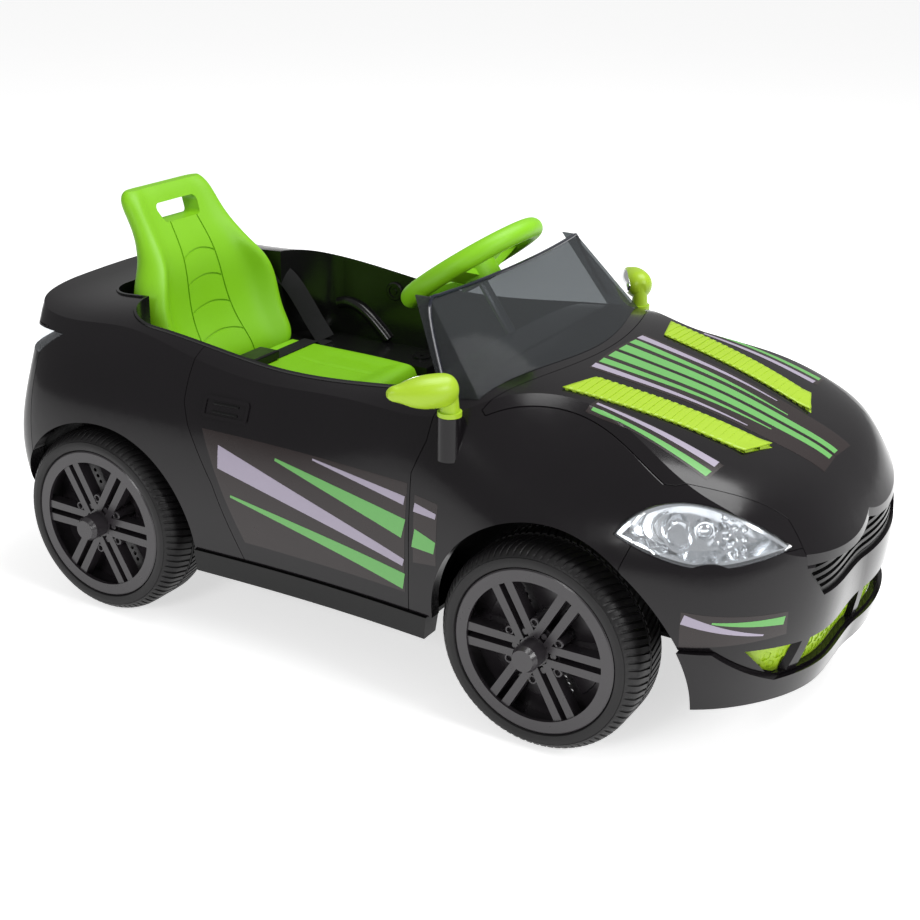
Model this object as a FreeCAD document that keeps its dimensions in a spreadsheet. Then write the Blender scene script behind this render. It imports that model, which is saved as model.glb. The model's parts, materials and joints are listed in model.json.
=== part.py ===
import FreeCAD, Part
import math
import os
import re
import Sketcher
from FreeCAD import Placement, Rotation, Vector

# Battery-driven ride-on car for one small child.
# Frame: +X to the nose, +Y to the driver's left, +Z up, origin on the floor under the middle of the car.
# All sizes are millimetres and live in the sheet below. A reach or offset is measured from the named axle.

SIZES = {
    # Stance and general clearances
    "front_axle": 249,
    "rear_axle": 351,
    "seam": 0.9,
    "slip": 0.4,
    "running_fit": 0.08,
    "skin": 3.6,
    # Body levels: height, half widths at the front axle, cowl, waist and rear axle, reach of nose and tail
    "hem_height": 88,
    "hem_front": 256,
    "hem_cowl": 249,
    "hem_waist": 241,
    "hem_rear": 252,
    "hem_nose": 250,
    "hem_tail": 141,
    "lower_height": 150,
    "lower_front": 265,
    "lower_cowl": 257,
    "lower_waist": 250,
    "lower_rear": 263,
    "lower_nose": 263,
    "lower_tail": 153,
    "belt_height": 235,
    "belt_front": 264,
    "belt_cowl": 257,
    "belt_waist": 251,
    "belt_rear": 264,
    "belt_nose": 262,
    "belt_tail": 155,
    "shoulder_height": 300,
    "shoulder_front": 228,
    "shoulder_cowl": 242,
    "shoulder_waist": 234,
    "shoulder_rear": 248,
    "shoulder_nose": 250,
    "shoulder_tail": 148,
    "crest_height": 350,
    "crest_front": 162,
    "crest_cowl": 211,
    "crest_waist": 206,
    "crest_rear": 211,
    "crest_nose": 235,
    "crest_tail": 161,
    "over_height": 402,
    "over_front": 92,
    "over_cowl": 168,
    "over_waist": 172,
    "over_rear": 172,
    "over_nose": 214,
    "over_tail": 150,
    # Upper surface: height on the middle line (ridge) and at the shoulder (rim) from tail to nose
    "rim_half": 207,
    "tail_ridge": 366,
    "tail_rim": 353,
    "boot_ridge": 372,
    "boot_rim": 354,
    "quarter_ridge": 366,
    "quarter_rim": 345,
    "door_ridge": 352,
    "door_rim": 333,
    "dash_ridge": 358,
    "dash_rim": 341,
    "cowl_ridge": 372,
    "cowl_rim": 351,
    "wheel_ridge": 358,
    "wheel_rim": 348,
    "lamp_ridge": 337,
    "lamp_rim": 327,
    "brow_ridge": 313,
    "brow_rim": 304,
    "lip_ridge": 288,
    "lip_rim": 280,
    "edge_ridge": 250,
    "edge_rim": 245,
    # Wheel arches
    "front_arch_radius": 136,
    "front_arch_lead": 6,
    "front_arch_height": 122,
    "front_sweep_radius": 161,
    "front_sweep_lead": 3,
    "front_sweep_height": 93,
    "rear_arch_radius": 134,
    "rear_arch_lead": 6,
    "rear_arch_height": 112,
    "arch_flange": 15,
    "arch_inner_half": 150,
    # Nose openings
    "grille_foot": 189,
    "grille_foot_half": 125,
    "grille_tip_height": 221,
    "grille_tip_half": 147,
    "grille_corner_half": 122,
    "mesh_top": 147,
    "mesh_foot": 114,
    "mesh_bar": 12,
    "mesh_divider_half": 142,
    "mesh_tip_half": 208,
    "mesh_slant": 8,
    "mesh_depth": 7,
    # Panel lines
    "door_behind": 126,
    "door_ahead": 158,
    "sill_top": 113,
    "sill_proud": 3,
    "sill_inner_half": 226,
    "sill_short": 14,
    "bonnet_foot": 246,
    "bonnet_lip": 8,
    "bonnet_half": 217,
    "bumper_behind": 89,
    "bumper_heel": 154,
    "splitter_behind": 140,
    "splitter_proud": 5,
    "splitter_foot": 84,
    "tail_seam": 104,
    "tail_panel_top": 338,
    "screen_corner_behind": 103,
    "screen_foot_bow": 46,
    # Lamps
    "lamp_ahead": 74,
    "lamp_half": 243,
    "lamp_length": 177,
    "lamp_brow": 298,
    "lamp_chin": 242,
    "lamp_tail_height": 263,
    "lamp_tip_height": 253,
    "tail_lamp_behind": 140,
    "tail_lamp_half": 215,
    "tail_lamp_height": 322,
    "tail_lamp_length": 74,
    "tail_lamp_rise": 26,
    # Cockpit
    "bay_rear": -438,
    "bay_half": 134,
    "bay_corner": 40,
    "cockpit_rear": -366,
    "cockpit_front": 128,
    "cockpit_half": 196,
    "cockpit_corner": 62,
    "tub_wall": 3,
    "shelf_height": 248,
    "seat_well_floor": 206,
    "seat_well_half": 124,
    "seat_well_rear": -346,
    "footwell_rear": -122,
    "floor_top": 97,
    "floor_plate": 5,
    "footwell_front": 62,
    "tunnel_half": 110,
    "tunnel_front": 176,
    "tunnel_top": 236,
    "rim_lip": 2,
    "tub_boss_x": 45,
    "tub_boss_height": 316,
    "tub_boss_rise": 3.5,
    "tub_boss_radius": 17,
    "screw_head_radius": 3,
    "screw_head": 1.6,
    # Windscreen
    "screen_wall": 3,
    "screen_foot_half": 202,
    "screen_top": 446,
    "screen_top_half": 173.5,
    # Bonnet vents
    "vent_behind": 22,
    "vent_ahead": 171,
    "vent_rear_inner": 91,
    "vent_rear_outer": 143,
    "vent_front_inner": 61,
    "vent_front_outer": 105,
    "vent_ribs": 25,
    "vent_sink": 0.8,
    "vent_proud": 2.5,
    # Grille slats, lower mesh and headlight bowls
    "slat_depth": 9,
    "slat_count": 6,
    "slat_gap": 4.5,
    "grille_lap": 5,
    "grille_frame": 5,
    "mesh_sheet": 3,
    "mesh_cell": 14,
    "bowl_depth": 24,
    "bowl_inset": 1.6,
    "bowl_wall": 2.2,
    "lamp_cup_radius": 15,
    # Mirrors
    "mirror_behind": 120,
    "mirror_half": 236,
    "mirror_cup_top": 344,
    "mirror_cup_radius": 13,
    "mirror_stem_radius": 7,
    "mirror_socket_depth": 14,
    "mirror_rise": 30,
    "mirror_head_z": 373,
    "mirror_flange": 5,
    "mirror_neck_radius": 11,
    "mirror_neck_top": 8,
    "mirror_sweep": 129,
    # Dashboard and its switches
    "dash_rear": 75,
    "dash_lean": 37,
    "dash_foot": 250,
    "dash_wall": 3.5,
    "rocker_height": 318,
    "rocker_side": 118,
    "rocker_sink": 4,
    "rocker_radius": 11,
    "rocker_width": 18,
    # Seat and belt
    "seat_base_half": 122,
    "seat_base_top": 257,
    "seat_corner": 22,
    "seat_round": 14,
    "handle_half": 34,
    "handle_flare": 8,
    "handle_foot": 436,
    "handle_top": 460,
    "seat_groove": 2.4,
    "seat_groove_depth": 1.6,
    "belt_x": -318,
    "belt_width": 25,
    "belt_wall": 1.6,
    "belt_end_half": 152,
    "buckle_height": 12,
    # Floor pan
    "front_pan_half": 118,
    "front_well_behind": 153,
    "front_well_ahead": 160,
    "rear_pan_half": 126,
    "rear_well_reach": 132,
    "spine_half": 112,
    "bracket_half": 104,
    "bracket_wall": 12,
    # Wheels
    "tyre_radius": 116,
    "tyre_width": 84,
    "bead_radius": 93,
    "rim_ring_width": 14,
    "tyre_fit": 0.15,
    "wheel_half": 224,
    "rim_wall": 3.85,
    "rim_hub_radius": 17,
    "rim_hub_back": 36,
    "rim_lip_height": 41,
    "disc_height": 7,
    "disc_wall": 5,
    "disc_hole_radius": 2.5,
    "disc_hole_pitch_radius": 53,
    "disc_hole_step": 8,
    "spoke_count": 6,
    "spoke_foot": 24,
    "spoke_top": 39,
    "spoke_slot": 7.3,
    "spoke_root_width": 8.5,
    "spoke_end_width": 10,
    "hub_face_radius": 28,
    "hub_face_drop": 7,
    "lug_radius": 22.5,
    "lug_nut_radius": 3.4,
    "lug_height": 5,
    "hub_cap_radius": 15,
    "hub_cap_top": 63,
    "axle_radius": 5,
    "axle_head_radius": 8,
    # Drive
    "drive_dog_radius": 30,
    "drive_dog_length": 15,
    "gearbox_radius": 40,
    "gearbox_width": 44,
    "motor_ahead": 61,
    "motor_rise": 14,
    "motor_radius": 18,
    "motor_length": 57,
    "battery_x": -215,
    "battery_depth": 65,
    "battery_width": 151,
    "battery_height": 94,
    "control_depth": 36,
    "control_width": 60,
    "control_height": 28,
    "control_side": 20,
    "socket_x": -152,
    "socket_side": 160,
    "socket_radius": 8,
    "socket_length": 26,
    "plug_radius": 2.75,
    "plug_depth": 12,
    # Steering
    "steering_x": 16,
    "steering_z": 439,
    "column_tilt": 54,
    "column_radius": 6,
    "column_length": 392,
    "ring_radius": 82,
    "ring_tube": 12,
    "hub_radius": 26,
    "hub_drop": 8,
    "hub_height": 18,
    "arm_width": 22,
    "arm_wall": 8,
    "pad_height": 10,
    "button_radius": 7,
    "button_side": 11,
    "button_travel": 2,
    "crank_reach": 40.7,
    "crank_lift": 5.5,
    "crank_wall": 10,
    "crank_pin_radius": 4,
    "tab_depth": 367.3,
    "tab_wall": 8,
    "tie_wall": 8,
    "kingpin_half": 160,
    "kingpin_radius": 8,
    "knuckle_radius": 14,
    "knuckle_arm_top": 112,
    "knuckle_arm_wall": 8,
    "arm_reach": 50,
    "arm_lift": 4.4,
    "arm_pin_radius": 5,
    "beam_rear": 258,
    "beam_depth": 22,
    "beam_foot": 132,
    "beam_height": 28,
    "eye_radius": 16,
    # Pedal
    "pedal_x": 96,
    "pedal_side": 60,
    "pedal_hinge": 106,
    "pedal_rise": 28,
    "pedal_length": 66,
    "pedal_width": 56,
    "pedal_wall": 5,
    "pedal_pin_radius": 4,
}

doc = FreeCAD.newDocument("ride_on_car")
sheet = doc.addObject("Spreadsheet::Sheet", "sizes")
for row, (alias, number) in enumerate(SIZES.items(), start=1):
    sheet.set(f"A{row}", alias)
    sheet.set(f"B{row}", str(number))
    sheet.setAlias(f"B{row}", alias)
doc.recompute()

NODES = {}
UP = Vector(0, 0, 1)
LEFT = Vector(0, 1, 0)
AHEAD = Vector(1, 0, 0)


def size(alias):
    """Number held by one cell of the sheet."""
    return float(sheet.get(alias))


def formed(label, shape):
    """Sub-part whose surfaces are worked out in code."""
    piece = doc.addObject("Part::Feature", label)
    piece.Label = label
    piece.Shape = shape
    piece.Placement = Placement()
    NODES[label] = piece
    return piece


def mirrored(shape):
    """The same form on the other side of the car."""
    return shape.mirror(Vector(0, 0, 0), LEFT)


def prism(points, direction, depth, grow=0.0):
    """Flat outline pushed along direction, its edge moved outwards by grow."""
    face = Part.Face(Part.makePolygon(list(points) + [points[0]]))
    if grow:
        face = face.makeOffset2D(grow, join=2)
    return face.extrude(direction * depth)


def formula(text):
    """Sheet formula: every size named in the text is read from its cell."""
    return re.sub(r"[a-z_]+", lambda word: f"sizes.{word.group()}" if word.group() in SIZES else word.group(), text)


def amount(text):
    """Number that a sheet formula gives now."""
    return float(sheet.evalExpression(formula(text)))


def node(piece):
    """Count a finished document object as a sub-part."""
    NODES[piece.Label] = piece
    return piece


def seated(piece, at, turn=Rotation()):
    """Set a piece down at a point given by three sheet formulas."""
    piece.Placement = Placement(Vector(*[amount(text) for text in at]), turn)
    for axis, text in zip("xyz", at):
        piece.setExpression(f"Placement.Base.{axis}", formula(text))
    return piece


def rod(name, radius, length, at, turn=Rotation()):
    """Round bar that starts at a point and runs along the turned Z axis."""
    piece = doc.addObject("Part::Cylinder", name)
    piece.setExpression("Radius", formula(radius))
    piece.setExpression("Height", formula(length))
    return seated(piece, at, turn)


def block(name, lengths, at, turn=Rotation()):
    """Square-cornered block that starts at a point."""
    piece = doc.addObject("Part::Box", name)
    for edge, text in zip(("Length", "Width", "Height"), lengths):
        piece.setExpression(edge, formula(text))
    return seated(piece, at, turn)


def joined(name, pieces):
    """Several pieces grown into one."""
    if len(pieces) == 1:
        whole = doc.addObject("Part::Compound", name)
        whole.Links = pieces
        return whole
    whole = doc.addObject("Part::MultiFuse", name)
    whole.Shapes = pieces
    return whole


def pierced(name, base, tool):
    """Base piece with a tool taken out of it."""
    piece = doc.addObject("Part::Cut", name)
    piece.Base = base
    piece.Tool = tool
    return piece


def reflected(name, source):
    """The same piece on the other side of the car."""
    piece = doc.addObject("Part::Mirroring", name)
    piece.Source = source
    piece.Normal = LEFT
    return piece


def copied(label, master, at, turn):
    """Sub-part with the form of a master, set down in the car."""
    piece = formed(label, master.Shape)
    return seated(piece, at, turn)


def profile(body, name, loops, plane):
    """Sketch of closed straight-sided loops whose corners are bound to the sheet."""
    sketch = body.newObject("Sketcher::SketchObject", name)
    support = [feature for feature in body.Origin.OriginFeatures if feature.Role == plane][0]
    sketch.AttachmentSupport = [(support, "")]
    sketch.MapMode = "FlatFace"
    for loop in loops:
        corners = [Vector(amount(x), amount(y), 0) for x, y in loop]
        first = len(sketch.Geometry)
        count = len(corners)
        for index in range(count):
            sketch.addGeometry(Part.LineSegment(corners[index], corners[(index + 1) % count]), False)
        for index in range(count):
            sketch.addConstraint(Sketcher.Constraint("Coincident", first + index, 2, first + (index + 1) % count, 1))
        for index, corner in enumerate(loop):
            bind_point(sketch, first + index, 1, corner)
    return sketch


def bind_point(sketch, element, end, corner):
    """Hold one sketch point at two sheet formulas."""
    for kind, text, axis in (("DistanceX", corner[0], -2), ("DistanceY", corner[1], -1)):
        if amount(text) == 0:
            sketch.addConstraint(Sketcher.Constraint("PointOnObject", element, end, axis))
        else:
            index = sketch.addConstraint(Sketcher.Constraint(kind, -1, 1, element, end, amount(text)))
            sketch.setExpression(f"Constraints[{index}]", formula(text))


def turned(label, loop):
    """Body turned from a half section about the Z axis."""
    body = doc.addObject("PartDesign::Body", label)
    section = profile(body, f"{label}_section", [loop], "XZ_Plane")
    doc.recompute()
    turn = body.newObject("PartDesign::Revolution", f"{label}_turn")
    turn.Profile = section
    turn.ReferenceAxis = (section, ["V_Axis"])
    turn.Angle = 360
    doc.recompute()
    return body


def raised(body, kind, name, sketch, foot, height):
    """Pad or pocket from one height to another above the body's base plane."""
    sketch.setExpression("AttachmentOffset.Base.z", formula(foot))
    doc.recompute()
    feature = body.newObject(f"PartDesign::{kind}", name)
    feature.Profile = sketch
    feature.Reversed = kind == "Pocket"
    feature.setExpression("Length", formula(height))
    doc.recompute()
    return feature


def padded(body, name, loops, foot, height):
    """Straight-sided pads on a body."""
    return raised(body, "Pad", name, profile(body, f"{name}_outline", loops, "XY_Plane"), foot, height)


def drilled(body, name, centres, radius, foot, height, solid):
    """Round pads or round holes on a body."""
    sketch = profile(body, f"{name}_circles", [], "XY_Plane")
    for index, centre in enumerate(centres):
        spot = Vector(amount(centre[0]), amount(centre[1]), 0)
        sketch.addGeometry(Part.Circle(spot, UP, amount(radius)), False)
        bind_point(sketch, index, 3, centre)
        bound = sketch.addConstraint(Sketcher.Constraint("Radius", index, amount(radius)))
        sketch.setExpression(f"Constraints[{bound}]", formula(radius))
    return raised(body, "Pad" if solid else "Pocket", name, sketch, foot, height)


def repeated(body, feature, count):
    """Feature repeated evenly round the Z axis of its body."""
    pattern = body.newObject("PartDesign::PolarPattern", f"{feature.Name}_round")
    pattern.Originals = [feature]
    pattern.Axis = (feature.Profile[0], ["N_Axis"])
    pattern.Angle = 360
    pattern.setExpression("Occurrences", formula(count))
    body.Tip = pattern
    doc.recompute()
    return pattern


FRONT_AXLE = size("front_axle")
REAR_AXLE = -size("rear_axle")
WAIST = 0.5 * (FRONT_AXLE + REAR_AXLE) + 10.0
SKIN = size("skin")
SEAM = size("seam")
SLIP = size("slip")
TALL = 700.0

# Body form: plan curves at six levels, closed above by the bonnet and deck surface
LEVELS = ("hem", "lower", "belt", "shoulder", "crest", "over")
NOSE_CURVE = ((0.0, 0.0), (0.43, 5.0), (0.67, 32.0), (0.88, 86.0))
TAIL_CURVE = ((0.0, 0.0), (0.45, 3.0), (0.76, 9.0), (0.93, 26.0), (0.995, 72.0))


def level_points(level, inset, drop):
    """Points of the closed plan curve of the body at one level, moved inwards by inset."""
    front = size(f"{level}_front") - inset
    waist = size(f"{level}_waist") - inset
    rear = size(f"{level}_rear") - inset
    cowl = size(f"{level}_cowl") - inset
    nose = FRONT_AXLE + size(f"{level}_nose") - inset
    tail = REAR_AXLE - size(f"{level}_tail") + inset
    left = [(nose - back, share * front) for share, back in NOSE_CURVE]
    left += [(FRONT_AXLE + 72.0, 0.985 * front), (FRONT_AXLE, front)]
    left += [(FRONT_AXLE - 110.0, cowl), (WAIST, waist)]
    left += [(REAR_AXLE + 110.0, 0.5 * (waist + rear)), (REAR_AXLE, rear)]
    left += [(tail + ahead, share * rear) for share, ahead in reversed(TAIL_CURVE)]
    right = [(x, -y) for x, y in reversed(left[1:-1])]
    return [Vector(x, y, size(f"{level}_height") - drop) for x, y in left + right]


def chord_shares(points):
    """Share of the way round at each point of a closed outline, one common parameter for all levels."""
    steps = [a.distanceToPoint(b) for a, b in zip(points, points[1:] + points[:1])]
    return [sum(steps[:i]) / sum(steps) for i in range(len(steps) + 1)]


OUTLINE_SHARES = chord_shares(level_points("belt", 0.0, 0.0))


def level_outline(level, inset, drop=0.0):
    """Closed plan curve of the body at one level."""
    curve = Part.BSplineCurve()
    curve.interpolate(Points=level_points(level, inset, drop), PeriodicFlag=True, Parameters=OUTLINE_SHARES)
    return Part.Wire([curve.toShape()])


# Upper surface: station, place along the car on the middle line, and how far it bows back at the rim
TOP_STATIONS = (
    ("tail", REAR_AXLE - 250.0, 0.0),
    ("tail", REAR_AXLE - 140.0, 0.0),
    ("boot", REAR_AXLE, 0.0),
    ("quarter", REAR_AXLE + 116.0, 0.0),
    ("door", WAIST - 79.0, 0.0),
    ("dash", WAIST + 60.0, 0.0),
    ("cowl", FRONT_AXLE - 109.0, 0.0),
    ("wheel", FRONT_AXLE, 0.0),
    ("lamp", FRONT_AXLE + 96.0, 8.0),
    ("brow", FRONT_AXLE + 171.0, 22.0),
    ("lip", FRONT_AXLE + 226.0, 38.0),
    ("edge", FRONT_AXLE + 257.0, 46.0),
)
# Share of the rim's half width against the share of the fall from ridge to rim
FALL_ACROSS = ((0.0, 0.0), (0.39, 0.03), (0.725, 0.25), (1.0, 1.0), (1.4, 2.7))
NOSE_RUN_OUT = Vector(34.0, 0.0, -40.0)


def upper_solid(drop):
    """Everything under the bonnet and deck surface, lowered by drop."""
    strips = [(-share, fall) for share, fall in reversed(FALL_ACROSS[1:])] + list(FALL_ACROSS)
    rows = []
    for station, middle, bow in TOP_STATIONS:
        ridge = size(f"{station}_ridge") - drop
        fall = size(f"{station}_ridge") - size(f"{station}_rim")
        row = []
        for share, part in strips:
            row.append(Vector(middle - bow * abs(share) ** 3, share * size("rim_half"), ridge - part * fall))
        rows.append(row)
    last = rows[-1]
    rows += [[point + NOSE_RUN_OUT * step for point in last] for step in (1, 2)]
    surface = Part.BSplineSurface()
    surface.interpolate(rows)
    return surface.toShape().extrude(Vector(0, 0, -TALL))


def body_form(inset, drop=None, hem_drop=0.0):
    """Closed body form moved inwards by inset all round and lowered by drop above."""
    wires = [level_outline("hem", inset, hem_drop)]
    wires += [level_outline(level, inset) for level in LEVELS[1:]]
    belt = Part.makeLoft(wires, True, False)
    return belt.common(upper_solid(inset if drop is None else drop))


# Wheel arches: round above the arch centre, straight sides below, with a flange turned inwards
def arch_opening(axle, name, grow):
    """Wheel arch as a tool through the whole body."""
    radius = size(f"{name}_arch_radius") + grow
    middle = axle + size(f"{name}_arch_lead")
    height = size(f"{name}_arch_height")
    start = Vector(middle, -TALL / 2, height)
    round_part = Part.makeCylinder(radius, TALL, start, LEFT)
    leg_part = Part.makeBox(2 * radius, TALL, height, Vector(middle - radius, -TALL / 2, 0))
    return round_part.fuse(leg_part)


def front_sweep(grow):
    """Wider front quarter of the front arch, where the bumper sweeps away from the tyre."""
    radius = size("front_sweep_radius") + grow
    middle = FRONT_AXLE + size("front_sweep_lead")
    height = size("front_sweep_height")
    round_part = Part.makeCylinder(radius, TALL, Vector(middle, -TALL / 2, height), LEFT)
    round_part = round_part.common(Part.makeBox(radius, TALL, 2 * radius, Vector(middle, -TALL / 2, height)))
    return round_part.fuse(Part.makeBox(radius, TALL, height, Vector(middle, -TALL / 2, 0)))


def arches(grow):
    """All arch tools in one shape, at the sides of the car only."""
    tool = arch_opening(FRONT_AXLE, "front", grow)
    tool = tool.fuse([front_sweep(grow), arch_opening(REAR_AXLE, "rear", grow)])
    inner = size("arch_inner_half") - grow
    return tool.cut(Part.makeBox(2 * TALL, 2 * inner, TALL, Vector(-TALL, -inner, 0)))


# Nose openings, front view, right half from the middle outwards
GRILLE_TOP = size("bonnet_foot")
GRILLE_FOOT = size("grille_foot")
BONNET_LIP = size("bonnet_lip")


def front_view(points):
    """Front-view outline from (y, z) pairs, set well behind the nose."""
    return [Vector(FRONT_AXLE + 120.0, y, z) for y, z in points]


def grille_outline():
    """Wide grille with pointed ends, open upwards to the bonnet lip."""
    corner = size("grille_corner_half")
    tip = size("grille_tip_half")
    foot = size("grille_foot_half")
    top = GRILLE_TOP + 12.0
    tip_z = size("grille_tip_height")
    return front_view([
        (-tip, tip_z), (-corner, GRILLE_TOP - 4.0), (-corner, top), (corner, top), (corner, GRILLE_TOP - 4.0),
        (tip, tip_z), (foot, GRILLE_FOOT + 3.0), (0, GRILLE_FOOT), (-foot, GRILLE_FOOT + 3.0),
    ])


def mesh_fields():
    """Four mesh openings under the bumper: a long one and a pointed one at each side of the middle bar."""
    top = size("mesh_top")
    foot = size("mesh_foot")
    half_bar = size("mesh_bar") / 2
    divider = size("mesh_divider_half")
    slant = size("mesh_slant")
    tip = size("mesh_tip_half")
    near = [(half_bar, top), (divider - half_bar, top), (divider - half_bar + slant, foot), (half_bar, foot)]
    side = [(divider + half_bar, top), (tip, top + 4), (tip - 30, foot + 2), (divider + half_bar + slant, foot)]
    fields = []
    for outline in (near, side):
        fields.append(front_view(outline))
        fields.append(front_view([(-y, z) for y, z in reversed(outline)]))
    return fields


def nose_tool(outlines, grow):
    """Front-view outlines pushed forwards through the nose."""
    return [prism(outline, AHEAD, 320.0, grow) for outline in outlines]


def grille_tool(grow, lip):
    """Grille outline pushed forwards through the nose, up to a lip under the bonnet surface."""
    return nose_tool([grille_outline()], grow)[0].common(upper_solid(lip))


outer_form = body_form(0.0)
collar_core = body_form(size("arch_flange"))
mesh_core = body_form(size("mesh_depth"))
cavity = body_form(SKIN, hem_drop=10.0)
cavity = cavity.cut(arches(SKIN).cut(collar_core))
for tool in nose_tool(mesh_fields(), SKIN):
    cavity = cavity.cut(tool.cut(mesh_core))
shell = outer_form.cut(cavity).cut(arches(0.0))
for tool in nose_tool(mesh_fields(), 0.0) + [grille_tool(0.0, BONNET_LIP)]:
    shell = shell.cut(tool)


def zone(points, grow=0.0):
    """Side-view outline, (x, z) pairs, pushed through the whole width of the car."""
    return prism([Vector(x, -TALL / 2, z) for x, z in points], LEFT, TALL, grow)


def side_zone(points, grow=0.0):
    """Side-view outline pushed through the left half of the car only."""
    return prism([Vector(x, 0, z) for x, z in points], LEFT, TALL / 2, grow)


def layer(near, far, tool):
    """Sheet that follows the body from near to far inside its surface, kept within a tool."""
    return tool.common(body_form(near)).cut(body_form(far))


# Panel lines, side view
DOOR_REAR = REAR_AXLE + size("door_behind")
DOOR_FRONT = FRONT_AXLE - size("door_ahead")
SILL_TOP = size("sill_top")
DOOR_LINE = (
    (DOOR_REAR - 3, 420), (DOOR_REAR, 322), (DOOR_REAR + 2, 293), (DOOR_REAR + 12, 268),
    (DOOR_REAR + 49, 205), (DOOR_REAR + 86, SILL_TOP), (DOOR_FRONT - 3, SILL_TOP),
    (DOOR_FRONT, 172), (DOOR_FRONT, 243), (DOOR_FRONT - 1, 276), (DOOR_FRONT + 12, 312), (DOOR_FRONT + 18, 420),
)
SILL_REAR = REAR_AXLE + size("rear_arch_lead") + size("rear_arch_radius")
SILL_FRONT = FRONT_AXLE + size("front_arch_lead") - size("front_arch_radius")
SILL_END = SILL_FRONT - size("sill_short")
SILL_LINE = ((SILL_REAR, 60), (SILL_REAR, SILL_TOP), (SILL_FRONT, SILL_TOP), (SILL_FRONT, 60))
SILL_SOLID = ((SILL_REAR, 60), (SILL_REAR, SILL_TOP), (SILL_END + 8, SILL_TOP), (SILL_END, 60))
BONNET_FOOT = size("bonnet_foot")
BUMPER_REAR = FRONT_AXLE + size("bumper_behind")
SPLITTER_REAR = FRONT_AXLE + size("splitter_behind")
SPLITTER_TOP = size("mesh_foot") - 3.0
BUMPER_HEEL = size("bumper_heel")
NOSE_PAST = FRONT_AXLE + 320.0
BUMPER_LINE = (
    (BUMPER_REAR, 60), (BUMPER_REAR, 232), (BUMPER_REAR + 12, 266), (FRONT_AXLE + 221, 252),
    (FRONT_AXLE + 262, BONNET_FOOT), (NOSE_PAST, BONNET_FOOT), (NOSE_PAST, 60),
)
SPLITTER_LINE = (
    (SPLITTER_REAR, 60), (SPLITTER_REAR, BUMPER_HEEL), (SPLITTER_REAR + 44, BUMPER_HEEL),
    (SPLITTER_REAR + 70, SPLITTER_TOP + 18), (SPLITTER_REAR + 90, SPLITTER_TOP),
    (NOSE_PAST, SPLITTER_TOP), (NOSE_PAST, 60),
)
TAIL_SEAM = REAR_AXLE - size("tail_seam")
TAIL_LINE = ((TAIL_SEAM, 60), (TAIL_SEAM, size("tail_panel_top")), (-TALL, size("tail_panel_top")), (-TALL, 60))


def bonnet_zone(grow):
    """Plan outline of the bonnet: bowed rear edge along the screen, sides over the shoulders."""
    corner = FRONT_AXLE - size("screen_corner_behind") + 6.0
    bow = corner + size("screen_foot_bow")
    side = size("bonnet_half")
    rear = Part.Arc(Vector(corner, -side + 8, 0), Vector(bow, 0, 0), Vector(corner, side - 8, 0)).toShape()
    edge = [(corner, side - 8), (corner + 22, side), (FRONT_AXLE + 96, side - 4), (FRONT_AXLE + 123, side - 10)]
    edge += [(FRONT_AXLE + 221, 150), (NOSE_PAST, 150)]
    points = [Vector(x, y, 0) for x, y in edge]
    points += [Vector(x, -y, 0) for x, y in reversed(edge)]
    face = Part.Face(Part.Wire([rear] + Part.makePolygon(points).Edges))
    if grow:
        face = face.makeOffset2D(grow, join=2)
    return face.extrude(Vector(0, 0, TALL)).cut(upper_solid(BONNET_LIP + grow))


# Lamps: almond outlines seen square to the corner of the body
LAMP_ALONG = Vector(0.857, -0.515, 0)
LAMP_OUT = Vector(0.515, 0.857, 0)


def lamp_tool(grow):
    """Left headlight outline pushed in through the corner of the body."""
    corner = Vector(FRONT_AXLE + size("lamp_ahead"), size("lamp_half"), 0) + LAMP_OUT * 40.0
    corner = corner - LAMP_ALONG * (2 * grow)
    length = size("lamp_length") + 4 * grow
    brow = size("lamp_brow") + grow
    chin = size("lamp_chin") - grow
    tail = size("lamp_tail_height")
    tip = size("lamp_tip_height")
    upper = ((0.0, tail), (0.2, brow - 7), (0.4, brow), (0.7, brow - 12), (1.0, tip))
    lower = ((1.0, tip), (0.74, chin + 3), (0.47, chin), (0.2, chin + 8), (0.0, tail))
    edges = []
    for line in (upper, lower):
        curve = Part.BSplineCurve()
        curve.interpolate([corner + LAMP_ALONG * (share * length) + UP * z for share, z in line])
        edges.append(curve.toShape())
    return Part.Face(Part.Wire(edges)).extrude(LAMP_OUT * -150.0)


TAIL_LAMP_OUT = Vector(-0.8, 0.6, 0)
TAIL_LAMP_ALONG = Vector(0.6, 0.8, 0)


def tail_lamp_tool(grow):
    """Left tail light outline, a slanted strip round the rear corner."""
    middle = Vector(REAR_AXLE - size("tail_lamp_behind"), size("tail_lamp_half"), size("tail_lamp_height"))
    middle = middle + TAIL_LAMP_OUT * 60.0
    reach = size("tail_lamp_length") / 2
    rise = size("tail_lamp_rise") / 2
    corners = ((-reach, -rise * 0.6), (reach, -rise), (reach + 10, rise), (-reach + 8, rise))
    outline = [middle + TAIL_LAMP_ALONG * along + UP * z for along, z in corners]
    return prism(outline, TAIL_LAMP_OUT * -1.0, 150.0, grow)


# Cockpit opening in plan: a wide well with a narrower bay for the seat back behind it
def rounded_plan(rear, front, half, corner, grow):
    """Rectangle in plan with its two rear corners rounded."""
    radius = corner + grow
    solid = Part.makeBox(front - rear + 2 * grow, 2 * (half + grow), TALL, Vector(rear - grow, -half - grow, 0))
    posts = [edge for edge in solid.Edges if edge.BoundBox.ZLength > TALL - 1]
    return solid.makeFillet(radius, [post for post in posts if abs(post.BoundBox.XMax - rear + grow) < 0.01])


def cockpit_plan(grow, floor):
    """Space above the shelf: well and seat bay together, grown outwards, from floor upwards."""
    well = rounded_plan(size("cockpit_rear"), size("cockpit_front"), size("cockpit_half"), size("cockpit_corner"), grow)
    bay = rounded_plan(size("bay_rear"), size("cockpit_rear") + 90.0, size("bay_half"), size("bay_corner"), grow)
    space = well.fuse(bay)
    space.translate(Vector(0, 0, floor))
    return space


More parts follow.
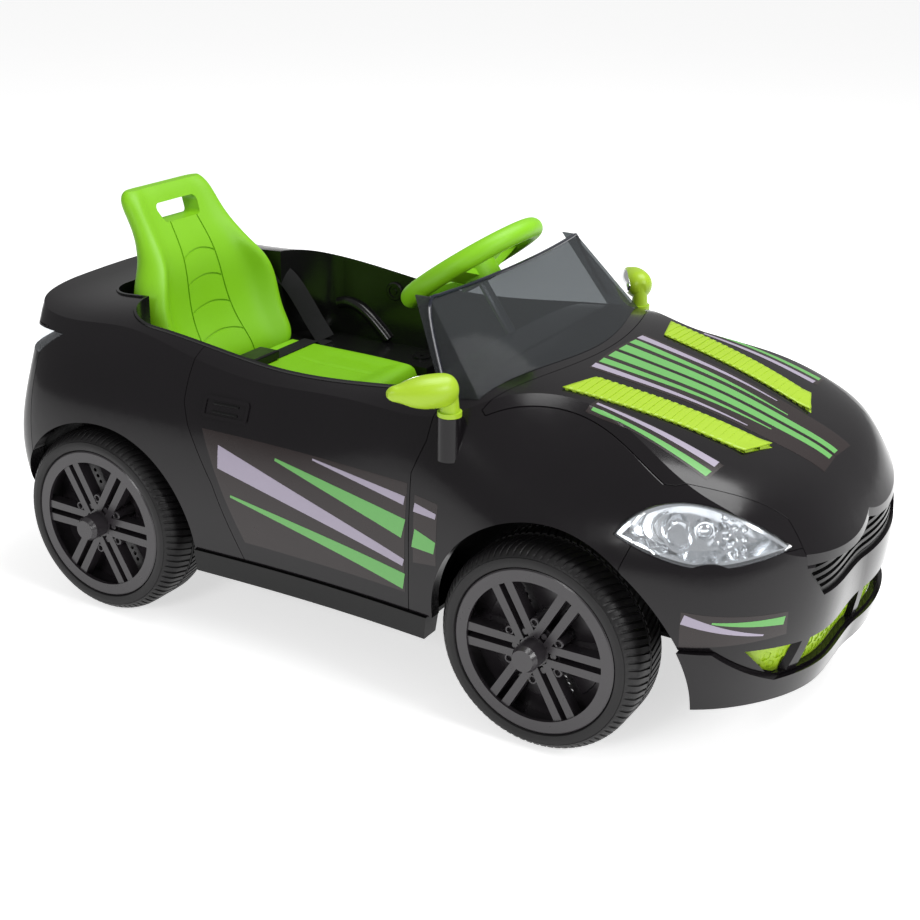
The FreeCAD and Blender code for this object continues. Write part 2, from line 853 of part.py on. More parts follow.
def seat_well(grow):
    """Recess in the shelf that holds the seat base."""
    rear = size("seat_well_rear") - grow
    half = size("seat_well_half") + grow
    length = size("footwell_rear") - rear + 40.0
    return Part.makeBox(length, 2 * half, TALL, Vector(rear, -half, size("seat_well_floor") - grow))


def footwell(grow):
    """Space for the legs, from the floor up."""
    rear = size("footwell_rear") - grow
    half = size("cockpit_half") + grow
    front = size("footwell_front") + grow
    return Part.makeBox(front - rear, 2 * half, TALL, Vector(rear, -half, size("floor_top") + SLIP))


def split(whole, tool_at):
    """Take the panel inside a tool out of the shell and leave a seam all round it."""
    return whole.common(tool_at(-SEAM / 2)), whole.cut(tool_at(SEAM / 2))


def volume_of(solid):
    """How much material a solid holds."""
    return solid.Volume


def station_of(solid):
    """Place of a solid along the car."""
    return solid.CenterOfMass.x


# Outer panels
deck_gap = size("tub_wall") + SLIP
shell = shell.cut(cockpit_plan(deck_gap, size("shelf_height") + 40.0))
left_lens, shell = split(shell, lamp_tool)
shell = shell.cut(mirrored(lamp_tool(SEAM / 2)))
left_tail, shell = split(shell, tail_lamp_tool)
shell = shell.cut(mirrored(tail_lamp_tool(SEAM / 2)))
shell = shell.cut(zone(SPLITTER_LINE, SEAM / 2)).cut(zone(SILL_LINE, SEAM / 2))
bonnet, shell = split(shell, bonnet_zone)
bumper, shell = split(shell, lambda grow: zone(BUMPER_LINE, grow))
tail_panel, shell = split(shell, lambda grow: zone(TAIL_LINE, grow))
left_door, shell = split(shell, lambda grow: side_zone(DOOR_LINE, grow))
shell = shell.cut(mirrored(side_zone(DOOR_LINE, SEAM / 2)))
rear_panel, front_panel = sorted(sorted(shell.Solids, key=volume_of)[-2:], key=station_of)

# Bonnet vents: ribbed inserts, proud of the bonnet, in slots that slant towards the nose
VENT_OUTLINE = (
    (FRONT_AXLE - size("vent_behind"), size("vent_rear_inner")),
    (FRONT_AXLE - size("vent_behind") - 13, size("vent_rear_outer")),
    (FRONT_AXLE + size("vent_ahead") - 17, size("vent_front_outer")),
    (FRONT_AXLE + size("vent_ahead"), size("vent_front_inner")),
)


def vent_tool(grow):
    """Left vent outline pushed up through the bonnet."""
    return prism([Vector(x, y, 0) for x, y in VENT_OUTLINE], UP, TALL, grow)


def vent_insert():
    """Left vent: base sheet with cross ribs standing on it."""
    tool = vent_tool(-SLIP)
    floor = upper_solid(size("vent_sink"))
    base = tool.common(floor).cut(upper_solid(SKIN))
    tops = tool.common(upper_solid(-size("vent_proud"))).cut(floor)
    start = VENT_OUTLINE[1][0]
    pitch = (VENT_OUTLINE[3][0] - start) / size("vent_ribs")
    slots = []
    for index in range(int(size("vent_ribs"))):
        corner = Vector(start + (index + 0.5) * pitch, 0, 0)
        slots.append(Part.makeBox(pitch * 0.5, TALL, TALL, corner))
    return base.fuse(tops.cut(Part.Compound(slots)))


left_bonnet = bonnet.cut(vent_tool(0.0)).common(Part.makeBox(2 * TALL, TALL, TALL, Vector(-TALL, 0, 0)))
bonnet = left_bonnet.fuse(mirrored(left_bonnet))
left_vent = vent_insert()
formed("bonnet", bonnet)
formed("bonnet_vents", Part.Compound([left_vent, mirrored(left_vent)]))
formed("front_bumper", bumper)
formed("rear_bumper", tail_panel)
formed("rear_body", rear_panel)
formed("door_left", left_door)
formed("door_right", mirrored(left_door))
formed("headlight_lens_left", left_lens)
formed("headlight_lens_right", mirrored(left_lens))
formed("tail_light_left", left_tail)
formed("tail_light_right", mirrored(left_tail))

# Front body with the two mirror cups on its shoulders
MIRROR_X = FRONT_AXLE - size("mirror_behind")
MIRROR_Y = size("mirror_half")
CUP_TOP = size("mirror_cup_top")
inner_skin = body_form(SKIN)


def mirror_cup():
    """Left mirror cup, a round boss with a blind socket for the stem."""
    post = Part.makeCylinder(size("mirror_cup_radius"), CUP_TOP - 296.0, Vector(MIRROR_X, MIRROR_Y, 296.0))
    return post.cut(inner_skin)


def mirror_socket():
    """Blind hole for the left mirror stem."""
    radius = size("mirror_stem_radius") + size("running_fit")
    foot = CUP_TOP - size("mirror_socket_depth")
    return Part.makeCylinder(radius, TALL, Vector(MIRROR_X, MIRROR_Y, foot))


front_panel = front_panel.fuse([mirror_cup(), mirrored(mirror_cup())])
front_panel = front_panel.cut([mirror_socket(), mirrored(mirror_socket())])
formed("front_body", front_panel)

# Splitter lip under the nose and the sills under the doors
hem_core = body_form(SKIN, hem_drop=10.0)
hem_drop = size("hem_height") - size("splitter_foot")
splitter = body_form(-size("splitter_proud"), hem_drop=hem_drop).common(zone(SPLITTER_LINE, -SEAM / 2))
formed("front_splitter", splitter.cut(hem_core).cut(arches(0.0)))
sills = body_form(-size("sill_proud"), hem_drop=hem_drop).common(zone(SILL_SOLID, -SEAM / 2))
SILL_INNER = size("sill_inner_half")
sills = sills.cut(Part.makeBox(2 * TALL, 2 * SILL_INNER, TALL, Vector(-TALL, -SILL_INNER, 0)))

# Grille: slatted sheet behind the nose opening
slats = layer(SKIN + SLIP, SKIN + SLIP + size("slat_depth"), grille_tool(size("grille_lap"), SKIN + SLIP))
slot_area = grille_tool(-size("grille_frame"), BONNET_LIP + size("grille_frame"))
slat_pitch = (GRILLE_TOP - GRILLE_FOOT) / (size("slat_count") + 1)
for index in range(int(size("slat_count")) + 1):
    floor = GRILLE_FOOT + (index + 0.5) * slat_pitch - size("slat_gap") / 2
    band = Part.makeBox(TALL, TALL, size("slat_gap"), Vector(0, -TALL / 2, floor))
    slats = slats.cut(slot_area.common(band))
formed("upper_grille", slats)

# Lower mesh: one curved sheet with rows of six-sided holes behind the four bumper fields
MESH_HALF = size("mesh_tip_half") + 3.0
mesh_area = Part.makeBox(TALL, 2 * MESH_HALF, size("mesh_top") - size("mesh_foot") + 8,
                         Vector(FRONT_AXLE + 100, -MESH_HALF, size("mesh_foot") - 3))
mesh_near = size("mesh_depth") + SLIP
mesh = layer(mesh_near, mesh_near + size("mesh_sheet"), mesh_area)
cell = size("mesh_cell")
rows = int((size("mesh_top") - size("mesh_foot")) / (cell * 0.866))
columns = int(size("mesh_tip_half") / cell) - 1
holes = []
for row in range(rows):
    for column in range(-columns, columns + 1):
        y = (column + 0.5 * (row % 2)) * cell
        z = size("mesh_foot") + (row + 0.6) * cell * 0.866
        turns = [math.radians(60 * i + 30) for i in range(6)]
        ring = [(y + 0.45 * cell * math.cos(a), z + 0.45 * cell * math.sin(a)) for a in turns]
        holes.append(prism(front_view(ring), AHEAD, 320.0))
formed("lower_mesh", mesh.cut(Part.Compound(holes)))

# Headlight bowls behind the lenses: rim wall, floor and two lamp cups
bowl_near = SKIN + SLIP
bowl = layer(bowl_near, bowl_near + size("bowl_depth"), lamp_tool(-size("bowl_inset")))
hollow = lamp_tool(-size("bowl_inset") - size("bowl_wall"))
bowl = bowl.cut(layer(0.0, bowl_near + size("bowl_depth") - size("bowl_wall"), hollow))
lamp_start = Vector(FRONT_AXLE + size("lamp_ahead"), size("lamp_half"), 0)
lamp_middle = 0.5 * (size("lamp_brow") + size("lamp_chin"))
for share, radius in ((0.36, size("lamp_cup_radius")), (0.62, 0.72 * size("lamp_cup_radius"))):
    foot = lamp_start + LAMP_ALONG * (share * size("lamp_length")) + UP * (lamp_middle - 14 * share)
    cup = Part.makeCylinder(radius, 120.0, foot - LAMP_OUT * 80.0, LAMP_OUT)
    cup = cup.cut(Part.makeCylinder(radius - size("bowl_wall"), 120.0, foot - LAMP_OUT * 80.0, LAMP_OUT))
    near = bowl_near + 0.35 * size("bowl_depth")
    bowl = bowl.fuse(cup.common(body_form(near)).cut(body_form(bowl_near + size("bowl_depth") - 0.5)))
formed("headlight_bowl_left", bowl)
formed("headlight_bowl_right", mirrored(bowl))

# Windscreen: bowed front with short side returns, leaning back, its foot following the cowl
def screen_wire(height, corner, half, bow, rear, rear_half):
    """Closed U-shaped section of the screen at one height."""
    edges = []
    ends = []
    for inset in (0.0, size("screen_wall")):
        left = Vector(corner - inset, half - inset, height)
        right = Vector(corner - inset, -half + inset, height)
        tail_left = Vector(rear, rear_half - inset, height)
        tail_right = Vector(rear, -rear_half + inset, height)
        arc = Part.Arc(left, Vector(corner + bow - inset, 0, height), right).toShape()
        run = [Part.makeLine(tail_left, left), arc, Part.makeLine(right, tail_right)]
        edges.append(run)
        ends.append((tail_left, tail_right))
    close_right = Part.makeLine(ends[0][1], ends[1][1])
    close_left = Part.makeLine(ends[1][0], ends[0][0])
    return Part.Wire(edges[0] + [close_right] + list(reversed(edges[1])) + [close_left])


SCREEN_X = FRONT_AXLE - size("screen_corner_behind")
low_screen = screen_wire(330.0, SCREEN_X + 19, size("screen_foot_half") + 6.7, 77.7, SCREEN_X - 33, 213.0)
high_screen = screen_wire(size("screen_top"), SCREEN_X - 81, size("screen_top_half"), 11.0, SCREEN_X - 99, 174.0)
screen = Part.makeLoft([low_screen, high_screen], True, True)
formed("windscreen", screen.cut(upper_solid(-SLIP)))

# Cockpit tub: seat shelf, seat well, leg space and a narrower tunnel for the feet between the front wheels
COLUMN_TILT = size("column_tilt")
DOWN_COLUMN = Vector(math.cos(math.radians(COLUMN_TILT)), 0, -math.sin(math.radians(COLUMN_TILT)))
STEERING_HEAD = Vector(size("steering_x"), 0, size("steering_z"))


def column_rod(radius, start, stop):
    """Round bar along the steering column, measured down from the middle of the steering wheel."""
    return Part.makeCylinder(radius, stop - start, STEERING_HEAD + DOWN_COLUMN * start, DOWN_COLUMN)


def foot_tunnel(grow):
    """Space for the feet."""
    half = size("tunnel_half") + grow
    foot = size("floor_top") + SLIP
    rear = size("footwell_front") - 20.0
    return Part.makeBox(size("tunnel_front") + grow - rear, 2 * half, size("tunnel_top") + grow - foot, Vector(rear, -half, foot))


def tub_space(grow):
    """Everything the tub wraps round, grown outwards."""
    space = cockpit_plan(grow, size("shelf_height") - grow)
    return space.fuse([seat_well(grow), footwell(grow), foot_tunnel(grow)])


SOCKET_SPOT = Vector(size("socket_x"), size("socket_side"), size("shelf_height") - 10.0)
BOSS_X = size("tub_boss_x")
BOSS_Z = size("tub_boss_height")
BOSS_Y = size("cockpit_half") - size("tub_boss_rise")
tub = tub_space(size("tub_wall")).cut(tub_space(0.0)).common(upper_solid(-size("rim_lip")))
left_boss = Part.makeCylinder(size("tub_boss_radius"), size("tub_boss_rise") + 1.0, Vector(BOSS_X, BOSS_Y, BOSS_Z), LEFT)
tub = tub.fuse([left_boss, mirrored(left_boss)])
tub = tub.cut(column_rod(size("column_radius") + 8.0, 100.0, 300.0))
tub = tub.cut(Part.makeCylinder(size("socket_radius") + SLIP / 2, 20.0, SOCKET_SPOT))
liner_top = size("shelf_height") - size("tub_wall")
liner_rear = size("footwell_rear") - size("tub_wall") - 1.0
liner_zone = Part.makeBox(TALL, TALL, liner_top, Vector(liner_rear, -TALL / 2, 0))
formed("footwell_liner", tub.common(liner_zone))
formed("cockpit_tub", tub.cut(liner_zone))

# Screws of the two door bosses
heads = []
for index in range(3):
    turn = math.radians(120 * index + 30)
    reach = 0.6 * size("tub_boss_radius")
    foot = Vector(BOSS_X + reach * math.cos(turn), BOSS_Y, BOSS_Z + reach * math.sin(turn))
    head = Part.makeCylinder(size("screw_head_radius"), size("screw_head"), foot, LEFT * -1)
    heads += [head, mirrored(head)]
formed("tub_screws", Part.Compound(heads))

# Dashboard: top sheet under the cowl edge and a face that leans back over the knees
DASH_REAR = size("dash_rear")
DASH_HALF = size("cockpit_half") - SLIP
DASH_FRONT = size("cockpit_front") - SLIP
DASH_WALL = size("dash_wall")
DASH_FOOT = Vector(DASH_REAR + size("dash_lean"), 0, size("dash_foot"))
DASH_HEAD = Vector(DASH_REAR, 0, 380.0)
dash_area = Part.makeBox(DASH_FRONT - DASH_REAR, 2 * DASH_HALF, TALL, Vector(DASH_REAR, -DASH_HALF, 0))
dash = dash_area.common(upper_solid(1.0)).cut(upper_solid(1.0 + DASH_WALL))
face_points = [DASH_HEAD, DASH_FOOT, DASH_FOOT + AHEAD * DASH_WALL, DASH_HEAD + AHEAD * DASH_WALL]
dash_face = prism([point - LEFT * DASH_HALF for point in face_points], LEFT, 2 * DASH_HALF).common(upper_solid(1.0))
bush = column_rod(size("column_radius") + 6.0, 98.0, 128.0).common(upper_solid(1.0))
dash = dash.fuse([dash_face, bush]).cut(column_rod(size("column_radius") + size("running_fit"), 60.0, 160.0))
ROCKER_Z = size("rocker_height")
ROCKER_X = DASH_REAR + size("dash_lean") * (380.0 - ROCKER_Z) / (380.0 - size("dash_foot")) + size("rocker_sink")
ROCKER_RADIUS = size("rocker_radius")
ROCKER_WIDTH = size("rocker_width")


def rocker(side, grow):
    """Rocker on one side of the dashboard, or the hole for it."""
    foot = Vector(ROCKER_X, side * size("rocker_side") - ROCKER_WIDTH / 2 - grow, ROCKER_Z)
    return Part.makeCylinder(ROCKER_RADIUS + grow, ROCKER_WIDTH + 2 * grow, foot, LEFT)


formed("dashboard", dash.cut([rocker(1, SLIP), rocker(-1, SLIP)]))
for label, side in (("power_switch", 1), ("direction_switch", -1)):
    notch = Part.makeBox(ROCKER_RADIUS, ROCKER_WIDTH, 4.0, Vector(ROCKER_X - ROCKER_RADIUS - 4, 0, ROCKER_Z - 2))
    notch.translate(LEFT * (side * size("rocker_side") - ROCKER_WIDTH / 2))
    formed(label, rocker(side, 0.0).cut(notch))

# Seat base in its well and seat back on the shelf
BASE_HALF = size("seat_base_half")
BASE_REAR = size("seat_well_rear") + 16.0
BASE_FRONT = size("footwell_rear") - 3.0
BASE_FOOT = size("seat_well_floor") + SLIP
BASE_TOP = size("seat_base_top")
seat_base = Part.makeBox(BASE_FRONT - BASE_REAR, 2 * BASE_HALF, BASE_TOP - BASE_FOOT, Vector(BASE_REAR, -BASE_HALF, BASE_FOOT))
posts = [edge for edge in seat_base.Edges if edge.BoundBox.ZLength > 10]
seat_base = seat_base.makeFillet(size("seat_corner"), posts)
brim = [edge for edge in seat_base.Edges if edge.BoundBox.ZMin > BASE_TOP - 0.1]
formed("seat_base", seat_base.makeFillet(size("seat_round"), brim))

# Seat back: height, front face on the middle line, wing reach, half width, depth at the middle and at the wings
BACK_SECTIONS = (
    (248.4, -347, 13, 112, 30, 38),
    (283, -361, 22, 124, 34, 48),
    (327, -382, 26, 126, 34, 52),
    (365, -390, 24, 119, 32, 50),
    (394, -398, 16, 100, 30, 42),
    (420, -411, 8, 88, 28, 32),
    (451, -429, 4, 82, 26, 28),
    (470, -440, 2, 78, 24, 24),
    (479, -448, 1, 70, 13, 13),
)
BACK_FOOT = BACK_SECTIONS[0][0]
BACK_MIDDLE = BACK_SECTIONS[2]
BEHIND_BACK = Vector(-480, 0, 0)
GROOVE_WIDE = size("seat_groove")
GROOVE_TOP = size("handle_foot")


def seat_section(height, front, wing, half, core, side, inset):
    """Closed outline of the seat back at one height, its front face moved back by inset."""
    face = front - inset
    crest = face + wing
    rear = front - core
    left = [
        (face, 0), (face + 0.04 * wing, 0.42 * half), (face + 0.4 * wing, 0.68 * half), (crest, 0.88 * half),
        (crest - 0.4 * side, half), (crest - 0.86 * side, 0.95 * half), (rear, 0.72 * half),
        (rear, 0.36 * half), (rear, 0),
    ]
    right = [(x, -y) for x, y in reversed(left[1:-1])]
    return [Vector(x, y, height) for x, y in left + right]


def seat_form(inset):
    """Seat back with hollow front and side wings."""
    shares = chord_shares(seat_section(*BACK_MIDDLE, 0.0))
    wires = []
    for section in BACK_SECTIONS:
        curve = Part.BSplineCurve()
        curve.interpolate(Points=seat_section(*section, inset), PeriodicFlag=True, Parameters=shares)
        wires.append(Part.Wire([curve.toShape()]))
    return Part.makeLoft(wires, True, False)


def rib_half(height):
    """Half width of the padded middle field of the seat back."""
    return 25.0 + (GROOVE_TOP - height) * 0.112


def back_prism(points, length):
    """Front-view outline pushed forwards through the seat back."""
    corners = [BEHIND_BACK + Vector(0, y, z) for y, z in points]
    return prism(corners, AHEAD, length)


def rib_groove(height):
    """Bowed groove across the middle field."""
    half = rib_half(height)
    ends = [BEHIND_BACK + Vector(0, y, height) for y in (-half, half)]
    low_ends = [end - UP * GROOVE_WIDE for end in ends]
    crown = BEHIND_BACK + Vector(0, 0, height + 7)
    upper = Part.Arc(ends[0], crown, ends[1]).toShape()
    lower = Part.Arc(low_ends[1], crown - UP * GROOVE_WIDE, low_ends[0]).toShape()
    sides = [Part.makeLine(ends[1], low_ends[1]), Part.makeLine(low_ends[0], ends[0])]
    return Part.Face(Part.Wire([upper, sides[0], lower, sides[1]])).extrude(AHEAD * 200)


grooves = [rib_groove(height) for height in (392, 358, 322, 286)]
for side in (1, -1):
    foot_y = rib_half(BACK_FOOT)
    top_y = rib_half(GROOVE_TOP)
    line = [(foot_y, BACK_FOOT + 1), (foot_y + GROOVE_WIDE, BACK_FOOT + 1), (top_y + GROOVE_WIDE, GROOVE_TOP), (top_y, GROOVE_TOP)]
    grooves.append(back_prism([(side * y, z) for y, z in line], 200))
seat_back = seat_form(0.0)
groove_core = seat_form(size("seat_groove_depth"))
front_half = Part.makeBox(300, 400, 400, Vector(-440, -200, 200))
for groove in grooves:
    seat_back = seat_back.cut(groove.cut(groove_core).common(front_half))
hole_half = size("handle_half")
hole_flare = size("handle_flare")
hole_foot = size("handle_foot")
hole_top = size("handle_top")
hole_line = [(-hole_half, hole_foot), (hole_half, hole_foot), (hole_half + hole_flare, hole_top), (-hole_half - hole_flare, hole_top)]
hole_tool = back_prism(hole_line, 200)
hole_tool = hole_tool.makeFillet(7.0, [edge for edge in hole_tool.Edges if edge.BoundBox.XLength > 199])
formed("seat_back", seat_back.cut(hole_tool))

# Lap belt across the seat, lying on the seat base and on the shelf, with its buckle on top
BELT_X = size("belt_x")
BELT_WALL = size("belt_wall")
BELT_END = size("belt_end_half")
SHELF = size("shelf_height")
belt_under = [
    (-BELT_END, SHELF + 0.2), (-BASE_HALF - 6, SHELF + 0.2), (-BASE_HALF + 1, SHELF + 4.5),
    (-BASE_HALF + 8, BASE_TOP + 0.2),
]
belt_under += [(-y, z) for y, z in reversed(belt_under)]
belt_over = [(y, z + BELT_WALL) for y, z in reversed(belt_under)]
belt_line = [Vector(BELT_X, y, z) for y, z in belt_under + belt_over]
formed("seat_belt", prism(belt_line, AHEAD, size("belt_width")))
BUCKLE = Vector(BELT_X - 3, -26.0, BASE_TOP + 0.2 + BELT_WALL + 0.1)
buckle = Part.makeBox(size("belt_width") + 6, 52.0, size("buckle_height"), BUCKLE)
formed("belt_buckle", buckle.makeFillet(3.0, [edge for edge in buckle.Edges if edge.BoundBox.ZMin > BUCKLE.z + 1]))

# Floor pan: plate inside the body, sills, spine under the front beam, rear axle brackets
pan = Part.Face(level_outline("hem", SKIN + 2 * SLIP)).extrude(UP * size("floor_plate"))
pan.translate(UP * (size("floor_top") - size("floor_plate") - size("hem_height")))
pan = pan.common(body_form(SKIN + 2 * SLIP, hem_drop=10.0))
for axle, half, behind, ahead in (
    (FRONT_AXLE, size("front_pan_half"), size("front_well_behind"), size("front_well_ahead")),
    (REAR_AXLE, size("rear_pan_half"), size("rear_well_reach"), size("rear_well_reach")),
):
    well = Part.makeBox(behind + ahead, TALL, 60.0, Vector(axle - behind, half, 60.0))
    pan = pan.cut([well, mirrored(well)])
AXLE_Z = size("tyre_radius")
AXLE_BORE = size("axle_radius") + size("running_fit")
FLOOR = size("floor_top")
BEAM_FOOT = size("beam_foot")
spine = Part.makeBox(80.0, 2 * size("spine_half"), BEAM_FOOT - FLOOR + 1, Vector(size("beam_rear") + 4, -size("spine_half"), FLOOR - 1))
bracket_face = size("bracket_half")
bracket = Part.makeBox(60.0, size("bracket_wall"), 50.0, Vector(REAR_AXLE - 30, bracket_face, FLOOR - 1))
spacer_end = size("wheel_half") - size("rim_hub_back") - SLIP
spacer = Part.makeCylinder(size("axle_radius") + 7, spacer_end - bracket_face, Vector(REAR_AXLE, bracket_face, AXLE_Z), LEFT)
pan = pan.fuse([spine, bracket, mirrored(bracket), spacer] + sills.Solids)
axle_hole = Part.makeCylinder(AXLE_BORE, TALL, Vector(REAR_AXLE, -TALL / 2, AXLE_Z), LEFT)
formed("floor_pan", pan.cut(axle_hole))

# Wheels: masters stand on their own axis with +Z to the outside of the car and z = 0 in the middle of the tread
TO_LEFT = Rotation(AHEAD, -90)
TO_RIGHT = Rotation(AHEAD, 90)

TREAD_EDGE = "tyre_width / 2 - 18"
WALL_EDGE = "tyre_width / 2"
tyre_side = [
    ("tyre_radius - 2.5", "1"), ("tyre_radius", "1.5"), ("tyre_radius", TREAD_EDGE),
    ("tyre_radius - 4", f"{WALL_EDGE} - 8"), ("tyre_radius - 14", WALL_EDGE),
    ("bead_radius + 6", WALL_EDGE), ("bead_radius", f"{WALL_EDGE} - 4"),
]
tyre_loop = [(x, f"-({z})") for x, z in reversed(tyre_side)] + tyre_side
tyre = turned("tyre_master", tyre_loop)

RIM_WALL = "bead_radius - tyre_fit - rim_wall"
RING_INNER = "bead_radius - tyre_fit - rim_ring_width"
rim_loop = [
    ("axle_radius + running_fit", "-rim_hub_back"), ("rim_hub_radius", "-rim_hub_back"),
    ("rim_hub_radius", "disc_height - disc_wall"), (RIM_WALL, "disc_height - disc_wall"),
    (RIM_WALL, "-tyre_width / 2 + 4"), ("bead_radius - tyre_fit", "-tyre_width / 2 + 4"),
    ("bead_radius - tyre_fit", "rim_lip_height - 1"), ("bead_radius - tyre_fit - 1.5", "rim_lip_height"),
    (RING_INNER, "rim_lip_height"), (RING_INNER, "rim_lip_height - 5"),
    (RIM_WALL, "rim_lip_height - 9"), (RIM_WALL, "disc_height"), ("rim_hub_radius", "disc_height"),
    ("rim_hub_radius", "spoke_foot + 2"), ("hub_face_radius", "spoke_foot + 2"),
    ("hub_face_radius", "spoke_top - hub_face_drop"), ("rim_hub_radius", "spoke_top - hub_face_drop"),
    ("rim_hub_radius", "spoke_top - 1"), ("axle_radius + running_fit", "spoke_top - 1"),
]
rim = turned("rim_master", rim_loop)
SPOKE_END = "bead_radius - tyre_fit - 2"
upper_bar = [
    ("rim_hub_radius - 1", "spoke_slot / 2"), (SPOKE_END, "spoke_slot / 2"),
    (SPOKE_END, "spoke_slot / 2 + spoke_end_width"), ("rim_hub_radius - 1", "spoke_slot / 2 + spoke_root_width"),
]
lower_bar = [(x, f"-({y})") for x, y in reversed(upper_bar)]
spokes = padded(rim, "spoke_bars", [upper_bar, lower_bar], "spoke_foot", "spoke_top - spoke_foot")
repeated(rim, spokes, "spoke_count")
nuts = drilled(rim, "lug_nuts", [("lug_radius", "0")], "lug_nut_radius", "spoke_top - hub_face_drop - 1", "lug_height + 1", True)
repeated(rim, nuts, "spoke_count")
vent_radii = [("disc_hole_pitch_radius + disc_hole_step * %d" % step, "0") for step in (-1, 0, 1)]
disc_holes = drilled(rim, "disc_holes", vent_radii, "disc_hole_radius", "disc_height - disc_wall - 1", "disc_wall + 2", False)
repeated(rim, disc_holes, "spoke_count * 2")

CAP_FOOT = "spoke_top - 1 + tyre_fit"
cap_loop = [
    ("hub_cap_radius - 3.5", CAP_FOOT), ("hub_cap_radius", CAP_FOOT), ("hub_cap_radius", "hub_cap_top - 6"),
    ("hub_cap_radius - 3", "hub_cap_top"), ("0", "hub_cap_top"), ("0", "hub_cap_top - 4"),
    ("hub_cap_radius - 3.5", "hub_cap_top - 4"),
]
hub_cap = turned("hub_cap_master", cap_loop)
doc.recompute()

WHEELS = (
    ("front_left", "front_axle", 1), ("front_right", "front_axle", -1),
    ("rear_left", "-rear_axle", 1), ("rear_right", "-rear_axle", -1),
)
dog = pierced(
    "drive_dog_ring",
    rod("drive_dog_blank", "drive_dog_radius", "drive_dog_length + 1", ("0", "0", "-rim_hub_back - drive_dog_length")),
    rod("drive_dog_bore", "axle_radius + running_fit", "drive_dog_length + 4", ("0", "0", "-rim_hub_back - drive_dog_length - 1")),
)
driven_rim = joined("rim_driven_master", [rim, dog])
doc.recompute()
for place, axle, side in WHEELS:
    turn = TO_LEFT if side > 0 else TO_RIGHT
    spot = (axle, "wheel_half" if side > 0 else "-wheel_half", "tyre_radius")
    wheel_rim = driven_rim if place == "rear_right" else rim
    for kind, master in (("tyre", tyre), ("rim", wheel_rim), ("hub_cap", hub_cap)):
        copied(f"{kind}_{place}", master, spot, turn)

# Rear axle, gearbox on the right wheel, motor
AXLE_END = "wheel_half + spoke_top + 6"
axle_bar = rod("rear_axle_bar", "axle_radius", f"2 * ({AXLE_END})", ("-rear_axle", f"-({AXLE_END})", "tyre_radius"), TO_LEFT)
head_left = rod("axle_head_left", "axle_head_radius", "4", ("-rear_axle", "wheel_half + spoke_top - 1 + tyre_fit", "tyre_radius"), TO_LEFT)
head_right = rod("axle_head_right", "axle_head_radius", "4", ("-rear_axle", "-wheel_half - spoke_top + 1 - tyre_fit", "tyre_radius"), TO_RIGHT)
node(joined("rear_axle", [axle_bar, head_left, head_right]))

GEAR_OUT = "-(wheel_half - rim_hub_back - drive_dog_length - 2 * slip)"
GEAR_WIDE = "gearbox_width"
MOTOR_X = "-rear_axle + motor_ahead"
MOTOR_Z = "tyre_radius + motor_rise"
big_case = rod("gear_case_axle", "gearbox_radius", GEAR_WIDE, ("-rear_axle", GEAR_OUT, "tyre_radius"), TO_LEFT)
small_case = rod("gear_case_motor", "gearbox_radius * 0.68", GEAR_WIDE, (MOTOR_X, GEAR_OUT, MOTOR_Z), TO_LEFT)
web_case = block("gear_case_web", ("motor_ahead", GEAR_WIDE, "gearbox_radius"), ("-rear_axle", GEAR_OUT, "tyre_radius - gearbox_radius / 2 + 6"))
gear_bore = rod("gear_case_bore", "axle_radius + running_fit", "gearbox_width + 4", ("-rear_axle", f"{GEAR_OUT} - 2", "tyre_radius"), TO_LEFT)
node(pierced("gearbox", joined("gear_case", [big_case, small_case, web_case]), gear_bore))
can = rod("motor_can", "motor_radius", "motor_length", (MOTOR_X, f"{GEAR_OUT} + gearbox_width + slip / 4", MOTOR_Z), TO_LEFT)
tip = rod("motor_tip", "motor_radius * 0.45", "motor_length + 6", (MOTOR_X, f"{GEAR_OUT} + gearbox_width + slip / 4", MOTOR_Z), TO_LEFT)
node(joined("motor", [can, tip]))

# Battery and control box under the seat, charging socket in the shelf beside it
battery_case = block("battery_case", ("battery_depth", "battery_width", "battery_height - 6"), ("battery_x", "-battery_width / 2", "floor_top + slip / 4"))
battery_lid = block("battery_lid", ("battery_depth - 3", "battery_width - 3", "battery_height"), ("battery_x + 1.5", "-battery_width / 2 + 1.5", "floor_top + slip / 4"))
terminal_left = block("battery_terminal_left", ("10", "12", "battery_height + 4"), ("battery_x + 8", "battery_width / 2 - 26", "floor_top + slip / 4"))
terminal_right = block("battery_terminal_right", ("10", "12", "battery_height + 4"), ("battery_x + 8", "-battery_width / 2 + 14", "floor_top + slip / 4"))
node(joined("battery", [battery_case, battery_lid, terminal_left, terminal_right]))
control_case = block("control_case", ("control_depth", "control_width", "control_height"), ("battery_x - control_depth - 14", "control_side", "floor_top + slip / 4"))
control_plug = block("control_plug", ("10", "control_width - 16", "control_height - 12"), ("battery_x - 15", "control_side + 8", "floor_top + 6"))
node(joined("control_box", [control_case, control_plug]))
SOCKET_TOP = "shelf_height + slip / 4"
barrel = rod("socket_barrel", "socket_radius", "socket_length",
             ("socket_x", "socket_side", f"{SOCKET_TOP} + 1 - socket_length"))
collar = rod("socket_collar", "socket_radius + 3.5", "2.5", ("socket_x", "socket_side", SOCKET_TOP))
socket_bore = rod("socket_bore", "plug_radius", "plug_depth + 2",
                  ("socket_x", "socket_side", f"{SOCKET_TOP} + 2.5 - plug_depth"))
node(pierced("charging_socket", joined("socket_body", [barrel, collar]), socket_bore))

